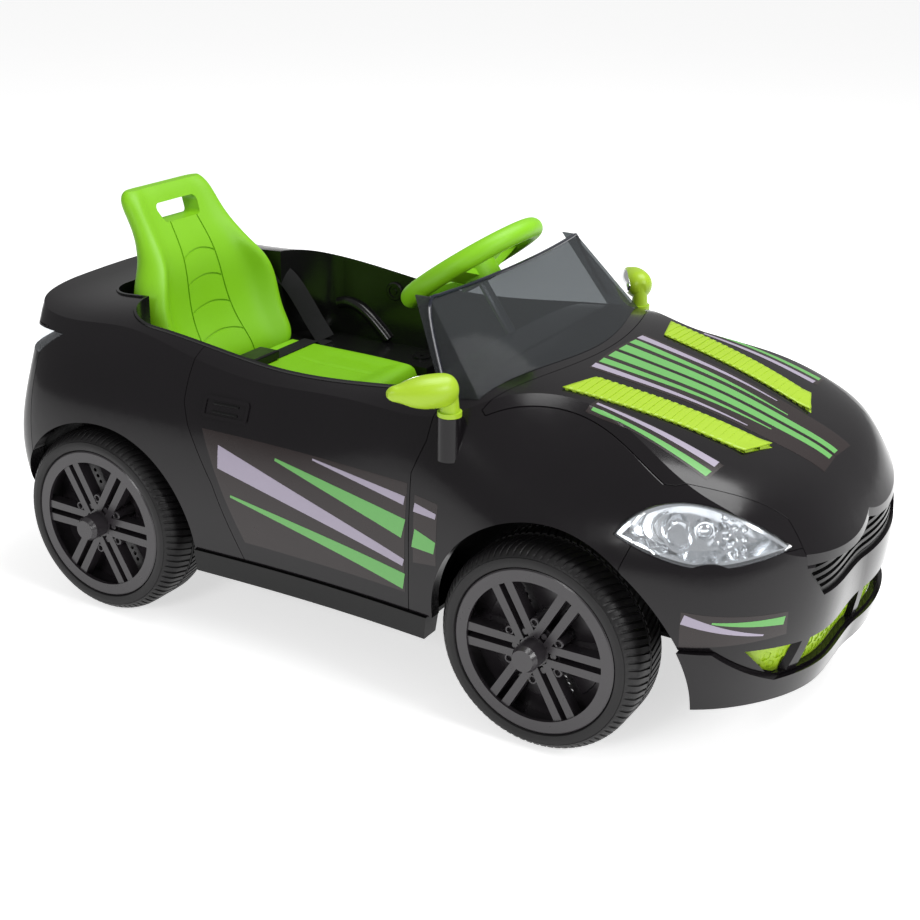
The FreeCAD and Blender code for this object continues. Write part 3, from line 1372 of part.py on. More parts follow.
# Front beam with its two kingpin eyes and the foot bearing of the steering column
BEAM = "beam_rear"
bar = block("beam_bar", ("beam_depth", "2 * (kingpin_half - 6)", "beam_height"), (BEAM, "-kingpin_half + 6", "beam_foot"))
eyes = []
for name, y in (("left", "kingpin_half"), ("right", "-kingpin_half")):
    eyes.append(rod(f"beam_eye_{name}", "eye_radius", "beam_height", ("front_axle", y, "beam_foot")))
eye_holes = []
for name, y in (("left", "kingpin_half"), ("right", "-kingpin_half")):
    eye_holes.append(rod(f"beam_hole_{name}", "kingpin_radius + running_fit", "beam_height + 4", ("front_axle", y, "beam_foot - 2")))
COLUMN_TURN = Rotation(LEFT, COLUMN_TILT - 90)
HEAD_AT = ("steering_x", "0", "steering_z")


def along_column(piece):
    """Set a piece made about the steering wheel's own axis into the car."""
    return seated(piece, HEAD_AT, COLUMN_TURN)


foot_block = block("column_foot_block", ("beam_rear - 234", "26", "34"), ("236", "-13", "112"))
foot_clear = along_column(joined("column_foot_clearance", [
    block("column_foot_keep_out", ("160", "160", "200"), ("-80", "-80", "-tab_depth - tab_wall / 2 - 3"))]))
foot_bearing = pierced("column_foot", foot_block, foot_clear)
column_hole = along_column(joined("column_hole", [
    rod("column_hole_bar", "column_radius + running_fit", "60", ("0", "0", "-column_length - 1"))]))
beam_body = joined("beam_body", [bar, foot_bearing] + eyes)
node(pierced("front_beam", beam_body, joined("beam_holes", eye_holes + [column_hole])))

# Steering wheel, pad, buttons and column, made about the wheel's own axis
ring = doc.addObject("Part::Torus", "steering_ring")
ring.setExpression("Radius1", formula("ring_radius"))
ring.setExpression("Radius2", formula("ring_tube"))
hub = rod("steering_hub", "hub_radius", "hub_height", ("0", "0", "-hub_drop - hub_height"))
arms = []
for name, angle in (("left", 80), ("right", -80), ("foot", 180)):
    tilt = Rotation(UP, angle).multiply(Rotation(LEFT, -15))
    reach = Rotation(UP, angle).multVec(Vector(size("hub_radius") - 8, 0, 0))
    across = Rotation(UP, angle).multVec(Vector(0, -size("arm_width") / 2, 0))
    spot = (f"{reach.x + across.x:.4f}", f"{reach.y + across.y:.4f}", "-hub_drop - hub_height + 6")
    arms.append(block(f"steering_arm_{name}", ("ring_radius - hub_radius + 6", "arm_width", "arm_wall"), spot, tilt))
hub_hole = rod("steering_hub_hole", "column_radius + running_fit", "hub_height - 4", ("0", "0", "-hub_drop - hub_height - 1"))
wheel_body = joined("steering_body", [ring, hub] + arms)
node(along_column(pierced("steering_wheel", wheel_body, hub_hole)))

pad_disc = rod("pad_disc", "hub_radius - 1", "pad_height", ("0", "0", "-hub_drop + slip / 4"))
pad_holes = []
for name, y in (("left", "button_side"), ("right", "-button_side")):
    pad_holes.append(rod(f"pad_hole_{name}", "button_radius + slip / 2", "pad_height + 4", ("0", y, "-hub_drop - 1")))
node(along_column(pierced("steering_pad", pad_disc, joined("pad_holes", pad_holes))))
for label, y in (("horn_button", "button_side"), ("music_button", "-button_side")):
    cap = rod(f"{label}_cap", "button_radius", "pad_height", ("0", y, "-hub_drop + button_travel + slip"))
    node(along_column(joined(label, [cap])))

shaft = rod("column_shaft", "column_radius", "column_length - hub_drop - 8", ("0", "0", "-column_length"))
crank = block("column_crank", ("crank_reach + 12", "14", "crank_wall"), ("-crank_reach - 8", "-7", "-tab_depth + tab_wall / 2 + 1"))
crank_boss = rod("column_crank_boss", "column_radius + 5", "crank_wall + 4", ("0", "0", "-tab_depth + tab_wall / 2 + 1"))
crank_pin = rod("column_crank_pin", "crank_pin_radius", "tab_wall + 8", ("-crank_reach", "0", "-tab_depth - tab_wall / 2 - 4"))
node(along_column(joined("steering_column", [shaft, crank, crank_boss, crank_pin])))

# Tie rod: a flat bar to each knuckle and a slotted tab in the middle for the crank pin
ROD_X = "front_axle - arm_reach"
ROD_Z = "knuckle_arm_top + 2"
tab = block("tie_tab", ("34", "30", "tab_wall"), ("-crank_reach - 17", "-15", "-tab_depth - tab_wall / 2"))
tab_slot = block("tie_tab_slot", ("2 * crank_pin_radius + crank_lift + 0.8", "2 * crank_pin_radius + 1.2", "tab_wall + 40"),
                 ("-crank_reach - crank_pin_radius - 0.4", "-crank_pin_radius - 0.6", "-tab_depth - tab_wall / 2 - 20"))
tab_set = along_column(joined("tie_tab_set", [tab]))
slot_set = along_column(joined("tie_slot_set", [tab_slot]))
rods = []
slots = []
for name, side in (("left", 1), ("right", -1)):
    near = "13" if side > 0 else "-kingpin_half"
    rods.append(block(f"tie_bar_{name}", ("14", "kingpin_half - 13", "tie_wall"), (f"{ROD_X} - 7", near, ROD_Z)))
    eye_y = "kingpin_half - 13" if side > 0 else "-kingpin_half - 13"
    rods.append(block(f"tie_eye_{name}", ("arm_lift + 26", "26", "tie_wall"), (f"{ROD_X} - 11", eye_y, ROD_Z)))
    slot_y = "kingpin_half - arm_pin_radius - 0.5" if side > 0 else "-kingpin_half - arm_pin_radius - 0.5"
    slots.append(block(f"tie_slot_{name}", ("2 * arm_pin_radius + arm_lift + 0.8", "2 * arm_pin_radius + 1", "tie_wall + 8"),
                       (f"{ROD_X} - arm_pin_radius - 0.4", slot_y, f"{ROD_Z} - 4")))
node(pierced("tie_rod", joined("tie_body", rods + [tab_set]), joined("tie_slots", slots + [slot_set])))

# Steering knuckle with kingpin, stub axle and arm, left one made and right one mirrored
KNUCKLE_FOOT = "knuckle_arm_top - knuckle_arm_wall"
knuckle_parts = [
    rod("knuckle_boss", "knuckle_radius", f"beam_foot - slip - ({KNUCKLE_FOOT})", ("front_axle", "kingpin_half", KNUCKLE_FOOT)),
    rod("knuckle_kingpin", "kingpin_radius", "beam_foot + beam_height + 6 - tyre_radius", ("front_axle", "kingpin_half", "tyre_radius")),
    rod("knuckle_clip", "kingpin_radius + 3", "2", ("front_axle", "kingpin_half", "beam_foot + beam_height + slip")),
    rod("knuckle_axle", "axle_radius", f"{AXLE_END} - kingpin_half", ("front_axle", "kingpin_half", "tyre_radius"), TO_LEFT),
    rod("knuckle_shoulder", "axle_radius + 4", "wheel_half - rim_hub_back - slip - kingpin_half", ("front_axle", "kingpin_half", "tyre_radius"), TO_LEFT),
    rod("knuckle_head", "axle_head_radius", "4", ("front_axle", "wheel_half + spoke_top - 1 + tyre_fit", "tyre_radius"), TO_LEFT),
    block("knuckle_arm", ("arm_reach + 7", "14", "knuckle_arm_wall"), (f"{ROD_X} - 7", "kingpin_half - 7", KNUCKLE_FOOT)),
    rod("knuckle_arm_pin", "arm_pin_radius", "tie_wall + 6", (ROD_X, "kingpin_half", "knuckle_arm_top - 1")),
]
left_knuckle = node(joined("knuckle_left", knuckle_parts))
node(reflected("knuckle_right", left_knuckle))

# Foot pedal on its bracket
PEDAL_Y = "-pedal_side"
plate_turn = Rotation(LEFT, -size("pedal_rise"))
pedal_plate = block("pedal_plate", ("pedal_length", "pedal_width", "pedal_wall"), ("pedal_x", f"{PEDAL_Y} - pedal_width / 2", "pedal_hinge"), plate_turn)
pedal_pin = rod("pedal_pin", "pedal_pin_radius", "pedal_width + 20", ("pedal_x", f"{PEDAL_Y} - pedal_width / 2 - 10", "pedal_hinge"), TO_LEFT)
node(joined("pedal", [pedal_plate, pedal_pin]))
bracket_parts = [block("pedal_bracket_foot", ("26", "pedal_width + 20", "2"), ("pedal_x - 13", f"{PEDAL_Y} - pedal_width / 2 - 10", "floor_top + slip / 4"))]
for name, y in (("right", f"{PEDAL_Y} - pedal_width / 2 - 10"), ("left", f"{PEDAL_Y} + pedal_width / 2 + 2")):
    bracket_parts.append(block(f"pedal_ear_{name}", ("18", "8", "pedal_hinge - floor_top + 8"), ("pedal_x - 9", y, "floor_top + slip / 4")))
pedal_hole = rod("pedal_hole", "pedal_pin_radius + running_fit", "pedal_width + 40", ("pedal_x", f"{PEDAL_Y} - pedal_width / 2 - 20", "pedal_hinge"), TO_LEFT)
node(pierced("pedal_bracket", joined("pedal_bracket_body", bracket_parts), pedal_hole))

# Door mirrors: round stem in the cup on the shoulder, flange, tapering neck and drop-shaped head
# Head sections: place along the head from the stem, half depth, half height, rise
HEAD_SECTIONS = (
    (-8, 5, 6, 0), (-5, 11, 12, 0), (3, 16, 17, 0), (14, 18, 18, 0), (28, 17.5, 17.5, 0),
    (44, 14, 14, 0.5), (58, 9, 9, 1.5), (68, 3.5, 3.5, 2),
)
HEAD_PLACE = Placement(Vector(MIRROR_X, MIRROR_Y, size("mirror_head_z")), Rotation(UP, size("mirror_sweep")))


def mirror_head():
    """Drop-shaped head along +X from the stem, swung into place."""
    wires = []
    for along, depth, height, rise in HEAD_SECTIONS:
        middle = Vector(along, 0, rise)
        tall = height >= depth
        first = Vector(along, 0, rise + height) if tall else Vector(along, depth, rise)
        second = Vector(along, depth, rise) if tall else Vector(along, 0, rise + height)
        wires.append(Part.Wire([Part.Ellipse(first, second, middle).toShape()]))
    return Part.makeLoft(wires, True, False)


STEM_SPOT = ("front_axle - mirror_behind", "mirror_half", "mirror_cup_top - mirror_socket_depth + slip")
FLANGE_SPOT = ("front_axle - mirror_behind", "mirror_half", "mirror_cup_top + slip")
stem = rod("mirror_stem", "mirror_stem_radius", "mirror_rise + mirror_socket_depth - slip", STEM_SPOT)
flange = rod("mirror_flange_ring", "mirror_cup_radius", "mirror_flange", FLANGE_SPOT)
neck = doc.addObject("Part::Cone", "mirror_neck")
neck.setExpression("Radius1", formula("mirror_neck_radius"))
neck.setExpression("Radius2", formula("mirror_neck_top"))
neck.setExpression("Height", formula("mirror_rise - slip"))
seated(neck, FLANGE_SPOT)
head = doc.addObject("Part::Feature", "mirror_head")
head.Shape = mirror_head()
head.Placement = HEAD_PLACE
left_mirror = node(joined("mirror_left", [stem, flange, neck, head]))
node(reflected("mirror_right", left_mirror))

doc.recompute()
faulty = [item.Name for item in doc.Objects if "Invalid" in item.State or "Error" in item.State]
for label, piece in NODES.items():
    if piece.Shape.isNull() or not piece.Shape.isValid():
        faulty.append(label)
if faulty:
    raise ValueError(f"faulty sub-parts: {faulty}")
os.makedirs("parts", exist_ok=True)
for label, piece in NODES.items():
    piece.Shape.exportStep(f"parts/{label}.step")
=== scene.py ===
"""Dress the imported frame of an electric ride-on car so that it looks like its photograph."""

import json
import logging
import math
from dataclasses import dataclass
from enum import Enum
from typing import Callable, Iterable, Protocol, Sequence

import bmesh
import bpy
from mathutils import Matrix, Vector
from mathutils.bvhtree import BVHTree


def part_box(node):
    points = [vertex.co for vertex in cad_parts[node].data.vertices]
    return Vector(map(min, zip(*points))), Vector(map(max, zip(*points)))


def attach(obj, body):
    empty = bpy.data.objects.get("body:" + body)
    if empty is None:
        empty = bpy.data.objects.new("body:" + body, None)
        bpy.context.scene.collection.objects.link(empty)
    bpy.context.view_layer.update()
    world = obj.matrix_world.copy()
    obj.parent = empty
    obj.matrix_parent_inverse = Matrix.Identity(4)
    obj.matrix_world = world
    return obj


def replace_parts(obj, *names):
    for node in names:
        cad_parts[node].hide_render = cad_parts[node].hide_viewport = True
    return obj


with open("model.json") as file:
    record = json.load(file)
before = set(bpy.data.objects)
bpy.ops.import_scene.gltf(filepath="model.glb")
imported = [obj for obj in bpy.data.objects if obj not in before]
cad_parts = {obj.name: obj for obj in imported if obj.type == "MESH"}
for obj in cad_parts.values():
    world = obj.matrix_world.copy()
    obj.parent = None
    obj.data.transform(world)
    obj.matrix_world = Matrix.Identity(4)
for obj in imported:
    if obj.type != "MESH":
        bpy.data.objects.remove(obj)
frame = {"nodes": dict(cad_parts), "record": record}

Piece = bpy.types.Object
Socket = bpy.types.NodeSocket
Colour = tuple[float, float, float]
Point2 = tuple[float, float]
Point3 = tuple[float, float, float]
Face = tuple[int, ...]
Shape = tuple[list[Vector], list[Face]]
Cell = tuple[int, int]

LOG = logging.getLogger("ride_on_car")
MM = 0.001
CHASSIS = "chassis"
# Rays that look for the car's surface start this far from the origin, in millimetres.
OUTSIDE = 700.0
BACKWARDS = Vector((-1.0, 0.0, 0.0))
DOWN = Vector((0.0, 0.0, -1.0))


class Side(Enum):
    """The two sides of the car, with the sign of their place across it."""

    LEFT = 1.0
    RIGHT = -1.0

    @property
    def word(self) -> str:
        """Name of the side, as the names of pieces hold it."""
        return self.name.lower()

    @property
    def outwards(self) -> Vector:
        """Direction away from the middle of the car."""
        return Vector((0.0, self.value, 0.0))


class Facing(Enum):
    """View in which a film stripe is drawn, and from which it is laid on the body."""

    PLAN = "plan"
    SIDE = "side"


class Wheel(Enum):
    """The four wheels, each with its axle's place along the car and its side."""

    FRONT_LEFT = (249.0, Side.LEFT)
    FRONT_RIGHT = (249.0, Side.RIGHT)
    REAR_LEFT = (-351.0, Side.LEFT)
    REAR_RIGHT = (-351.0, Side.RIGHT)


class Assembly(Protocol):
    """What main builds: a class whose build method makes pieces."""

    def build(self) -> list[Piece]:
        """Make the pieces and give them back."""


class NodeGraph:
    """Small builder for the node tree of one material."""

    # Places of the share, the colours and the result on a mix node.
    MIX_SHARE = 0
    MIX_COLOURS = (6, 7)
    MIX_RESULT = 2

    def __init__(self, name: str) -> None:
        """Start an empty material.

        Args:
            name: Name of the material.
        """
        self.material = bpy.data.materials.new(name)
        self.material.use_nodes = True
        self.tree = self.material.node_tree
        self.tree.nodes.clear()
        self.output = self.tree.nodes.new("ShaderNodeOutputMaterial")
        self.coords = self.tree.nodes.new("ShaderNodeTexCoord").outputs["Object"]

    def feed(self, node: bpy.types.Node, socket: str | int, value: object) -> None:
        """Link a socket to an output, or set its constant.

        Args:
            node: Node whose input is fed.
            socket: Name or number of the input.
            value: Another node's output socket, or a plain value.
        """
        target = node.inputs[socket]
        if isinstance(value, Socket):
            self.tree.links.new(value, target)
        elif target.type == "RGBA":
            target.default_value = (*value, 1.0)
        else:
            target.default_value = value

    def add(self, kind: str, **values: object) -> bpy.types.Node:
        """Add a node and feed its sockets.

        Args:
            kind: Blender's type name of the node.
            **values: Value of each socket, with _ for a space in its name.

        Returns:
            The new node.
        """
        node = self.tree.nodes.new(kind)
        for word, value in values.items():
            self.feed(node, word.replace("_", " "), value)
        return node

    def noise(self, scale: float, detail: float = 4.0) -> Socket:
        """Noise in the piece's own coordinates, with so many cells per metre."""
        return self.add("ShaderNodeTexNoise", Vector=self.coords, Scale=scale, Detail=detail).outputs[0]

    def mottled(self, colour: Colour, scale: float, low: float, high: float) -> Socket:
        """Colour that drifts between two shares of itself over the piece.

        Args:
            colour: Linear colour.
            scale: Cells of the drift per metre.
            low: Share where it is darkest.
            high: Share where it is brightest.

        Returns:
            The colour socket.
        """
        node = self.add("ShaderNodeMix")
        node.data_type = "RGBA"
        self.feed(node, self.MIX_SHARE, self.noise(scale))
        for socket, share in zip(self.MIX_COLOURS, (low, high)):
            self.feed(node, socket, tuple(channel * share for channel in colour))
        return node.outputs[self.MIX_RESULT]

    def uneven(self, value: float, scale: float, low: float, high: float, detail: float = 4.0) -> Socket:
        """Value that drifts between two shares of itself over the piece."""
        drift = self.noise(scale, detail)
        return self.add("ShaderNodeMapRange", Value=drift, To_Min=value * low, To_Max=value * high).outputs[0]

    def bump(self, height: Socket, strength: float, depth: float) -> Socket:
        """Normal of a fine relief, from its height, its strength and its depth in metres."""
        return self.add("ShaderNodeBump", Height=height, Strength=strength, Distance=depth).outputs[0]

    def surface(self, **values: object) -> bpy.types.Node:
        """Finish the tree with a principled surface.

        Args:
            **values: Value of each socket, with _ for a space in its name.

        Returns:
            The principled node.
        """
        node = self.add("ShaderNodeBsdfPrincipled", **values)
        self.tree.links.new(node.outputs[0], self.output.inputs[0])
        return node


@dataclass(frozen=True)
class Plastic:
    """Moulded plastic with a faint flow pattern, orange peel and uneven sheen."""

    name: str
    colour: Colour
    roughness: float
    sheen: float = 0.5
    peel: float = 0.05
    peel_depth: float = 0.0004
    grain: float = 900.0
    shift: float = 0.12

    def material(self) -> bpy.types.Material:
        """Build the material.

        Returns:
            The Blender material.
        """
        graph = NodeGraph(self.name)
        graph.surface(
            Base_Color=graph.mottled(self.colour, scale=14.0, low=1 - self.shift, high=1 + self.shift),
            Roughness=graph.uneven(self.roughness, scale=60.0, low=0.85, high=1.2, detail=6.0),
            Specular_IOR_Level=self.sheen,
            Normal=graph.bump(graph.noise(self.grain, detail=3.0), self.peel, self.peel_depth),
        )
        return graph.material


@dataclass(frozen=True)
class Metal:
    """Bare or plated metal with fine brush marks."""

    name: str
    colour: Colour
    roughness: float

    def material(self) -> bpy.types.Material:
        """Build the material.

        Returns:
            The Blender material.
        """
        graph = NodeGraph(self.name)
        graph.surface(
            Base_Color=graph.mottled(self.colour, scale=40.0, low=0.85, high=1.1),
            Metallic=1.0,
            Roughness=graph.uneven(self.roughness, scale=220.0, low=0.7, high=1.4),
            Normal=graph.bump(graph.noise(1500.0, detail=2.0), strength=0.04, depth=0.0003),
        )
        return graph.material


@dataclass(frozen=True)
class ClearPlastic:
    """Transparent moulding, clear or smoked."""

    name: str
    colour: Colour
    roughness: float
    clearness: float
    haze: Colour
    sheen: float = 0.5

    def material(self) -> bpy.types.Material:
        """Build the material.

        Returns:
            The Blender material.
        """
        graph = NodeGraph(self.name)
        gloss = graph.surface(
            Base_Color=graph.mottled(self.haze, scale=9.0, low=0.92, high=1.08),
            Roughness=graph.uneven(self.roughness, scale=30.0, low=0.7, high=1.5),
            Specular_IOR_Level=self.sheen,
        )
        through = graph.add("ShaderNodeBsdfTransparent", Color=self.colour)
        mix = graph.add("ShaderNodeMixShader")
        for socket, value in enumerate((self.clearness, gloss.outputs[0], through.outputs[0])):
            graph.feed(mix, socket, value)
        graph.tree.links.new(mix.outputs[0], graph.output.inputs[0])
        return graph.material


@dataclass(frozen=True)
class Webbing:
    """Woven belt band."""

    name: str
    colour: Colour

    def material(self) -> bpy.types.Material:
        """Build the material.

        Returns:
            The Blender material.
        """
        graph = NodeGraph(self.name)
        weave = graph.add("ShaderNodeTexChecker", Vector=graph.coords, Scale=700.0)
        graph.surface(
            Base_Color=graph.mottled(self.colour, scale=120.0, low=0.7, high=1.4),
            Roughness=0.8,
            Specular_IOR_Level=0.25,
            Normal=graph.bump(weave.outputs[1], strength=0.5, depth=0.0004),
        )
        return graph.material


class Finish(Enum):
    """Every finish on the car. The name in it is the record's slot, where the record has one for it."""

    BODY = Plastic("body_black", (0.0065, 0.0055, 0.0065), 0.16, sheen=0.28, peel=0.03, grain=260.0)
    LINER = Plastic("liner_black", (0.006, 0.006, 0.006), 0.2, sheen=0.35)
    PAN = Plastic("pan_black", (0.005, 0.005, 0.005), 0.3, sheen=0.2, peel=0.1)
    RIM = Plastic("rim_black", (0.022, 0.019, 0.022), 0.28, sheen=0.6, peel=0.08)
    TYRE = Plastic("tyre_black", (0.008, 0.0075, 0.008), 0.42, sheen=0.28, peel=0.15)
    SEAT = Plastic("seat_green", (0.185, 0.465, 0.006), 0.45, sheen=0.35, peel=0.06, shift=0.05)
    LIME = Plastic("lime", (0.3, 0.465, 0.016), 0.36, sheen=0.4, shift=0.05)
    SCREEN = ClearPlastic("screen_smoke", (0.4, 0.42, 0.43), 0.06, 0.72, haze=(0.09, 0.095, 0.1), sheen=0.12)
    SCREEN_EDGE = Plastic("screen_edge", (0.01, 0.012, 0.02), 0.15, peel=0.02)
    LENS = ClearPlastic("lens_clear", (0.97, 0.98, 0.99), 0.03, 0.93, haze=(0.7, 0.72, 0.75))
    BOWL = Metal("bowl_silver", (0.86, 0.87, 0.88), 0.16)
    STEEL = Metal("steel", (0.55, 0.56, 0.58), 0.35)
    MOTOR = Metal("motor_steel", (0.4, 0.41, 0.43), 0.4)
    WEBBING = Webbing("webbing", (0.005, 0.005, 0.0055))
    FILM_BROWN = Plastic("film_brown", (0.016, 0.0105, 0.0105), 0.25, sheen=0.4, peel=0.02, shift=0.25)
    FILM_GREEN = Plastic("film_green", (0.115, 0.345, 0.09), 0.3, sheen=0.4, peel=0.02, shift=0.06)
    FILM_SILVER = Plastic("film_silver", (0.31, 0.275, 0.35), 0.3, sheen=0.4, peel=0.02, shift=0.08)


MATERIALS: dict[Finish, bpy.types.Material] = {finish: finish.value.material() for finish in Finish}
SLOT_FINISH: dict[str, Finish] = {finish.value.name: finish for finish in Finish}


def between(first: float, second: float, share: float) -> float:
    """Value at a share of the way between two others."""
    return first + (second - first) * share


def clamped(value: float, low: float = 0.0, high: float = 1.0) -> float:
    """Value held between two limits."""
    return min(max(value, low), high)


def last_inside(inside: Callable[[float], bool], near: float, far: float, halvings: int = 18) -> float:
    """Find the edge of a surface by halving.

    Args:
        inside: Tells whether a value is still on the surface.
        near: Value on it.
        far: Value beyond it.
        halvings: How often the range is halved.

    Returns:
        The farthest value found on it.
    """
    for _ in range(halvings):
        middle = (near + far) / 2
        near, far = (middle, far) if inside(middle) else (near, middle)
    return near


def heading(path: Sequence[Vector], index: int) -> Vector:
    """Direction of a line of points at one of them."""
    return (path[min(index + 1, len(path) - 1)] - path[max(index - 1, 0)]).normalized()


def smooth_path(points: Sequence[Vector], steps: int = 8) -> list[Vector]:
    """Smooth line through points.

    Args:
        points: Points to pass through.
        steps: Points made for each span.

    Returns:
        The finer line.
    """
    line: list[Vector] = []
    for index in range(len(points) - 1):
        before = points[max(index - 1, 0)]
        here = points[index]
        after = points[index + 1]
        beyond = points[min(index + 2, len(points) - 1)]
        bend = 2 * before - 5 * here + 4 * after - beyond
        twist = 3 * here - before - 3 * after + beyond
        for step in range(steps):
            share = step / steps
            line.append(0.5 * (2 * here + (after - before) * share + bend * share**2 + twist * share**3))
    return [*line, points[-1].copy()]


def grid_faces(rows: int, columns: int, around: bool = False) -> list[Face]:
    """Faces of a grid of points stored row by row.

    Args:
        rows: Number of rows.
        columns: Points in each row.
        around: Whether each row closes on itself.

    Returns:
        Four corner numbers per face.
    """
    faces = []
    for row in range(rows - 1):
        for column in range(columns if around else columns - 1):
            after = (column + 1) % columns
            start = row * columns
            faces.append((start + column, start + after, start + columns + after, start + columns + column))
    return faces


def bar_faces(rings: int, sides: int) -> list[Face]:
    """Faces of a bar made of equal rings, with both of its ends closed."""
    last = (rings - 1) * sides
    return [*grid_faces(rings, sides, around=True), tuple(range(sides)), tuple(range(last, last + sides))]


def circle(middle: Vector, side: Vector, across: Vector, radius: float, count: int) -> list[Vector]:
    """Points on a circle.

    Args:
        middle: Its middle.
        side: Unit direction of the first point.
        across: Unit direction a quarter turn on.
        radius: Its radius.
        count: Number of points.

    Returns:
        The points in order.
    """
    turns = [2 * math.pi * index / count for index in range(count)]
    return [middle + (side * math.cos(turn) + across * math.sin(turn)) * radius for turn in turns]


def turned(profile: Sequence[Point2], foot: Vector, axis: Vector, sides: int) -> Shape:
    """Turn a profile about an axis.

    Args:
        profile: Radius and height pairs in millimetres.
        foot: Place of height 0 in millimetres.
        axis: Unit direction of the axis.
        sides: Number of points round.

    Returns:
        Points in millimetres and faces.
    """
    side = axis.orthogonal().normalized()
    points: list[Vector] = []
    for radius, height in profile:
        points += circle(foot + axis * height, side, axis.cross(side), radius, sides)
    return points, bar_faces(len(profile), sides)


def tube(path: Sequence[Vector], radius: float, sides: int = 8) -> Shape:
    """Round bar along a path.

    Args:
        path: Points of the middle line in millimetres.
        radius: Radius of the bar.
        sides: Number of points round.

    Returns:
        Points in millimetres and faces.
    """
    points: list[Vector] = []
    side = heading(path, 0).orthogonal()
    for index, place in enumerate(path):
        ahead = heading(path, index)
        side = (side - ahead * side.dot(ahead)).normalized()
        points += circle(place, side, ahead.cross(side), radius, sides)
    return points, bar_faces(len(path), sides)


def merged(shapes: Iterable[Shape]) -> Shape:
    """Several shapes as one.

    Args:
        shapes: Points and faces of each.

    Returns:
        Points and faces of all.
    """
    points: list[Vector] = []
    faces: list[Face] = []
    for corners, sides in shapes:
        faces += [tuple(len(points) + corner for corner in side) for side in sides]
        points += corners
    return points, faces


def patch(places: dict[Cell, Vector], widest: float = math.inf) -> Shape:
    """Sheet over the cells of a grid that have a point.

    Args:
        places: Points in millimetres by row and column.
        widest: Span from which a face is left out.

    Returns:
        Points in millimetres and faces.
    """
    points = list(places.values())
    numbers = {cell: number for number, cell in enumerate(places)}
    faces = []
    for row, column in places:
        cells = ((row, column), (row, column + 1), (row + 1, column + 1), (row + 1, column))
        if all(cell in numbers for cell in cells):
            corners = tuple(numbers[cell] for cell in cells)
            span = max((points[a] - points[b]).length for a in corners for b in corners)
            if span < widest:
                faces.append(corners)
    return points, faces


def dress(piece: Piece, finish: Finish) -> None:
    """Give a piece one finish."""
    piece.data.materials.clear()
    piece.data.materials.append(MATERIALS[finish])


def tidy_normals(piece: Piece, sharp: float) -> None:
    """Turn the faces outwards and keep hard edges sharp.

    Args:
        piece: Mesh object.
        sharp: Angle in degrees above which an edge stays sharp.
    """
    work = bmesh.new()
    work.from_mesh(piece.data)
    bmesh.ops.recalc_face_normals(work, faces=work.faces)
    work.to_mesh(piece.data)
    work.free()
    piece.data.set_sharp_from_angle(angle=math.radians(sharp))


def mesh_piece(
    name: str, points: Sequence[Vector], faces: Iterable[Face], finish: Finish,
    body: str = CHASSIS, slot: Finish | None = None, sharp: float | None = None,
) -> Piece:
    """Make a mesh object that rides on a CAD body.

    Args:
        name: Name of the object.
        points: Corners in millimetres.
        faces: Corner numbers of each face.
        finish: Finish of the piece.
        body: CAD body that carries it.
        slot: Finish of the record's slot, where it isn't the piece's own; not used.
        sharp: Angle in degrees above which an edge of a closed piece stays sharp; None for a sheet.

    Returns:
        The new object.
    """
    mesh = bpy.data.meshes.new(name)
    mesh.from_pydata([tuple(value * MM for value in point) for point in points], [], list(faces))
    mesh.shade_smooth()
    mesh.update()
    piece = bpy.data.objects.new(name, mesh)
    bpy.context.scene.collection.objects.link(piece)
    dress(piece, finish)
    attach(piece, body)
    if sharp is not None:
        tidy_normals(piece, sharp)
    return piece


def thicken(piece: Piece, thickness: float, offset: float = 0.0) -> Piece:
    """Give a sheet its thickness.

    Args:
        piece: Sheet object.
        thickness: Thickness in millimetres.
        offset: -1 to grow behind the faces, 1 in front of them and 0 both ways.

    Returns:
        The same object.
    """
    solid = piece.modifiers.new("thickness", "SOLIDIFY")
    solid.thickness = thickness * MM
    solid.offset = offset
    return piece


class Skin:
    """Surface of a CAD node, on which thin pieces are laid."""

    def __init__(self, node: str) -> None:
        """Take the faces of the node.

        Args:
            node: Name of the CAD node.
        """
        piece = frame["nodes"][node]
        points = [piece.matrix_world @ vertex.co for vertex in piece.data.vertices]
        self.tree = BVHTree.FromPolygons(points, [list(face.vertices) for face in piece.data.polygons])

    def lay(self, start: Vector, direction: Vector, lift: float = 0.0) -> Vector | None:
        """Follow a ray to the surface.

        Args:
            start: Start of the ray in millimetres.
            direction: Unit direction of the ray.
            lift: How far above the surface the result lies, in millimetres.

        Returns:
            The point in millimetres, or None where the ray misses.
        """
        place, normal, _, _ = self.tree.ray_cast(start * MM, direction)
        if place is None:
            return None
        if normal.dot(direction) > 0:
            normal = -normal
        return place / MM + normal * lift

    def follow(self, starts: Iterable[Vector], direction: Vector, lift: float) -> list[Vector]:
        """Lay a line of points and leave out those whose ray misses."""
        places = [self.lay(start, direction, lift) for start in starts]
        return [place for place in places if place is not None]


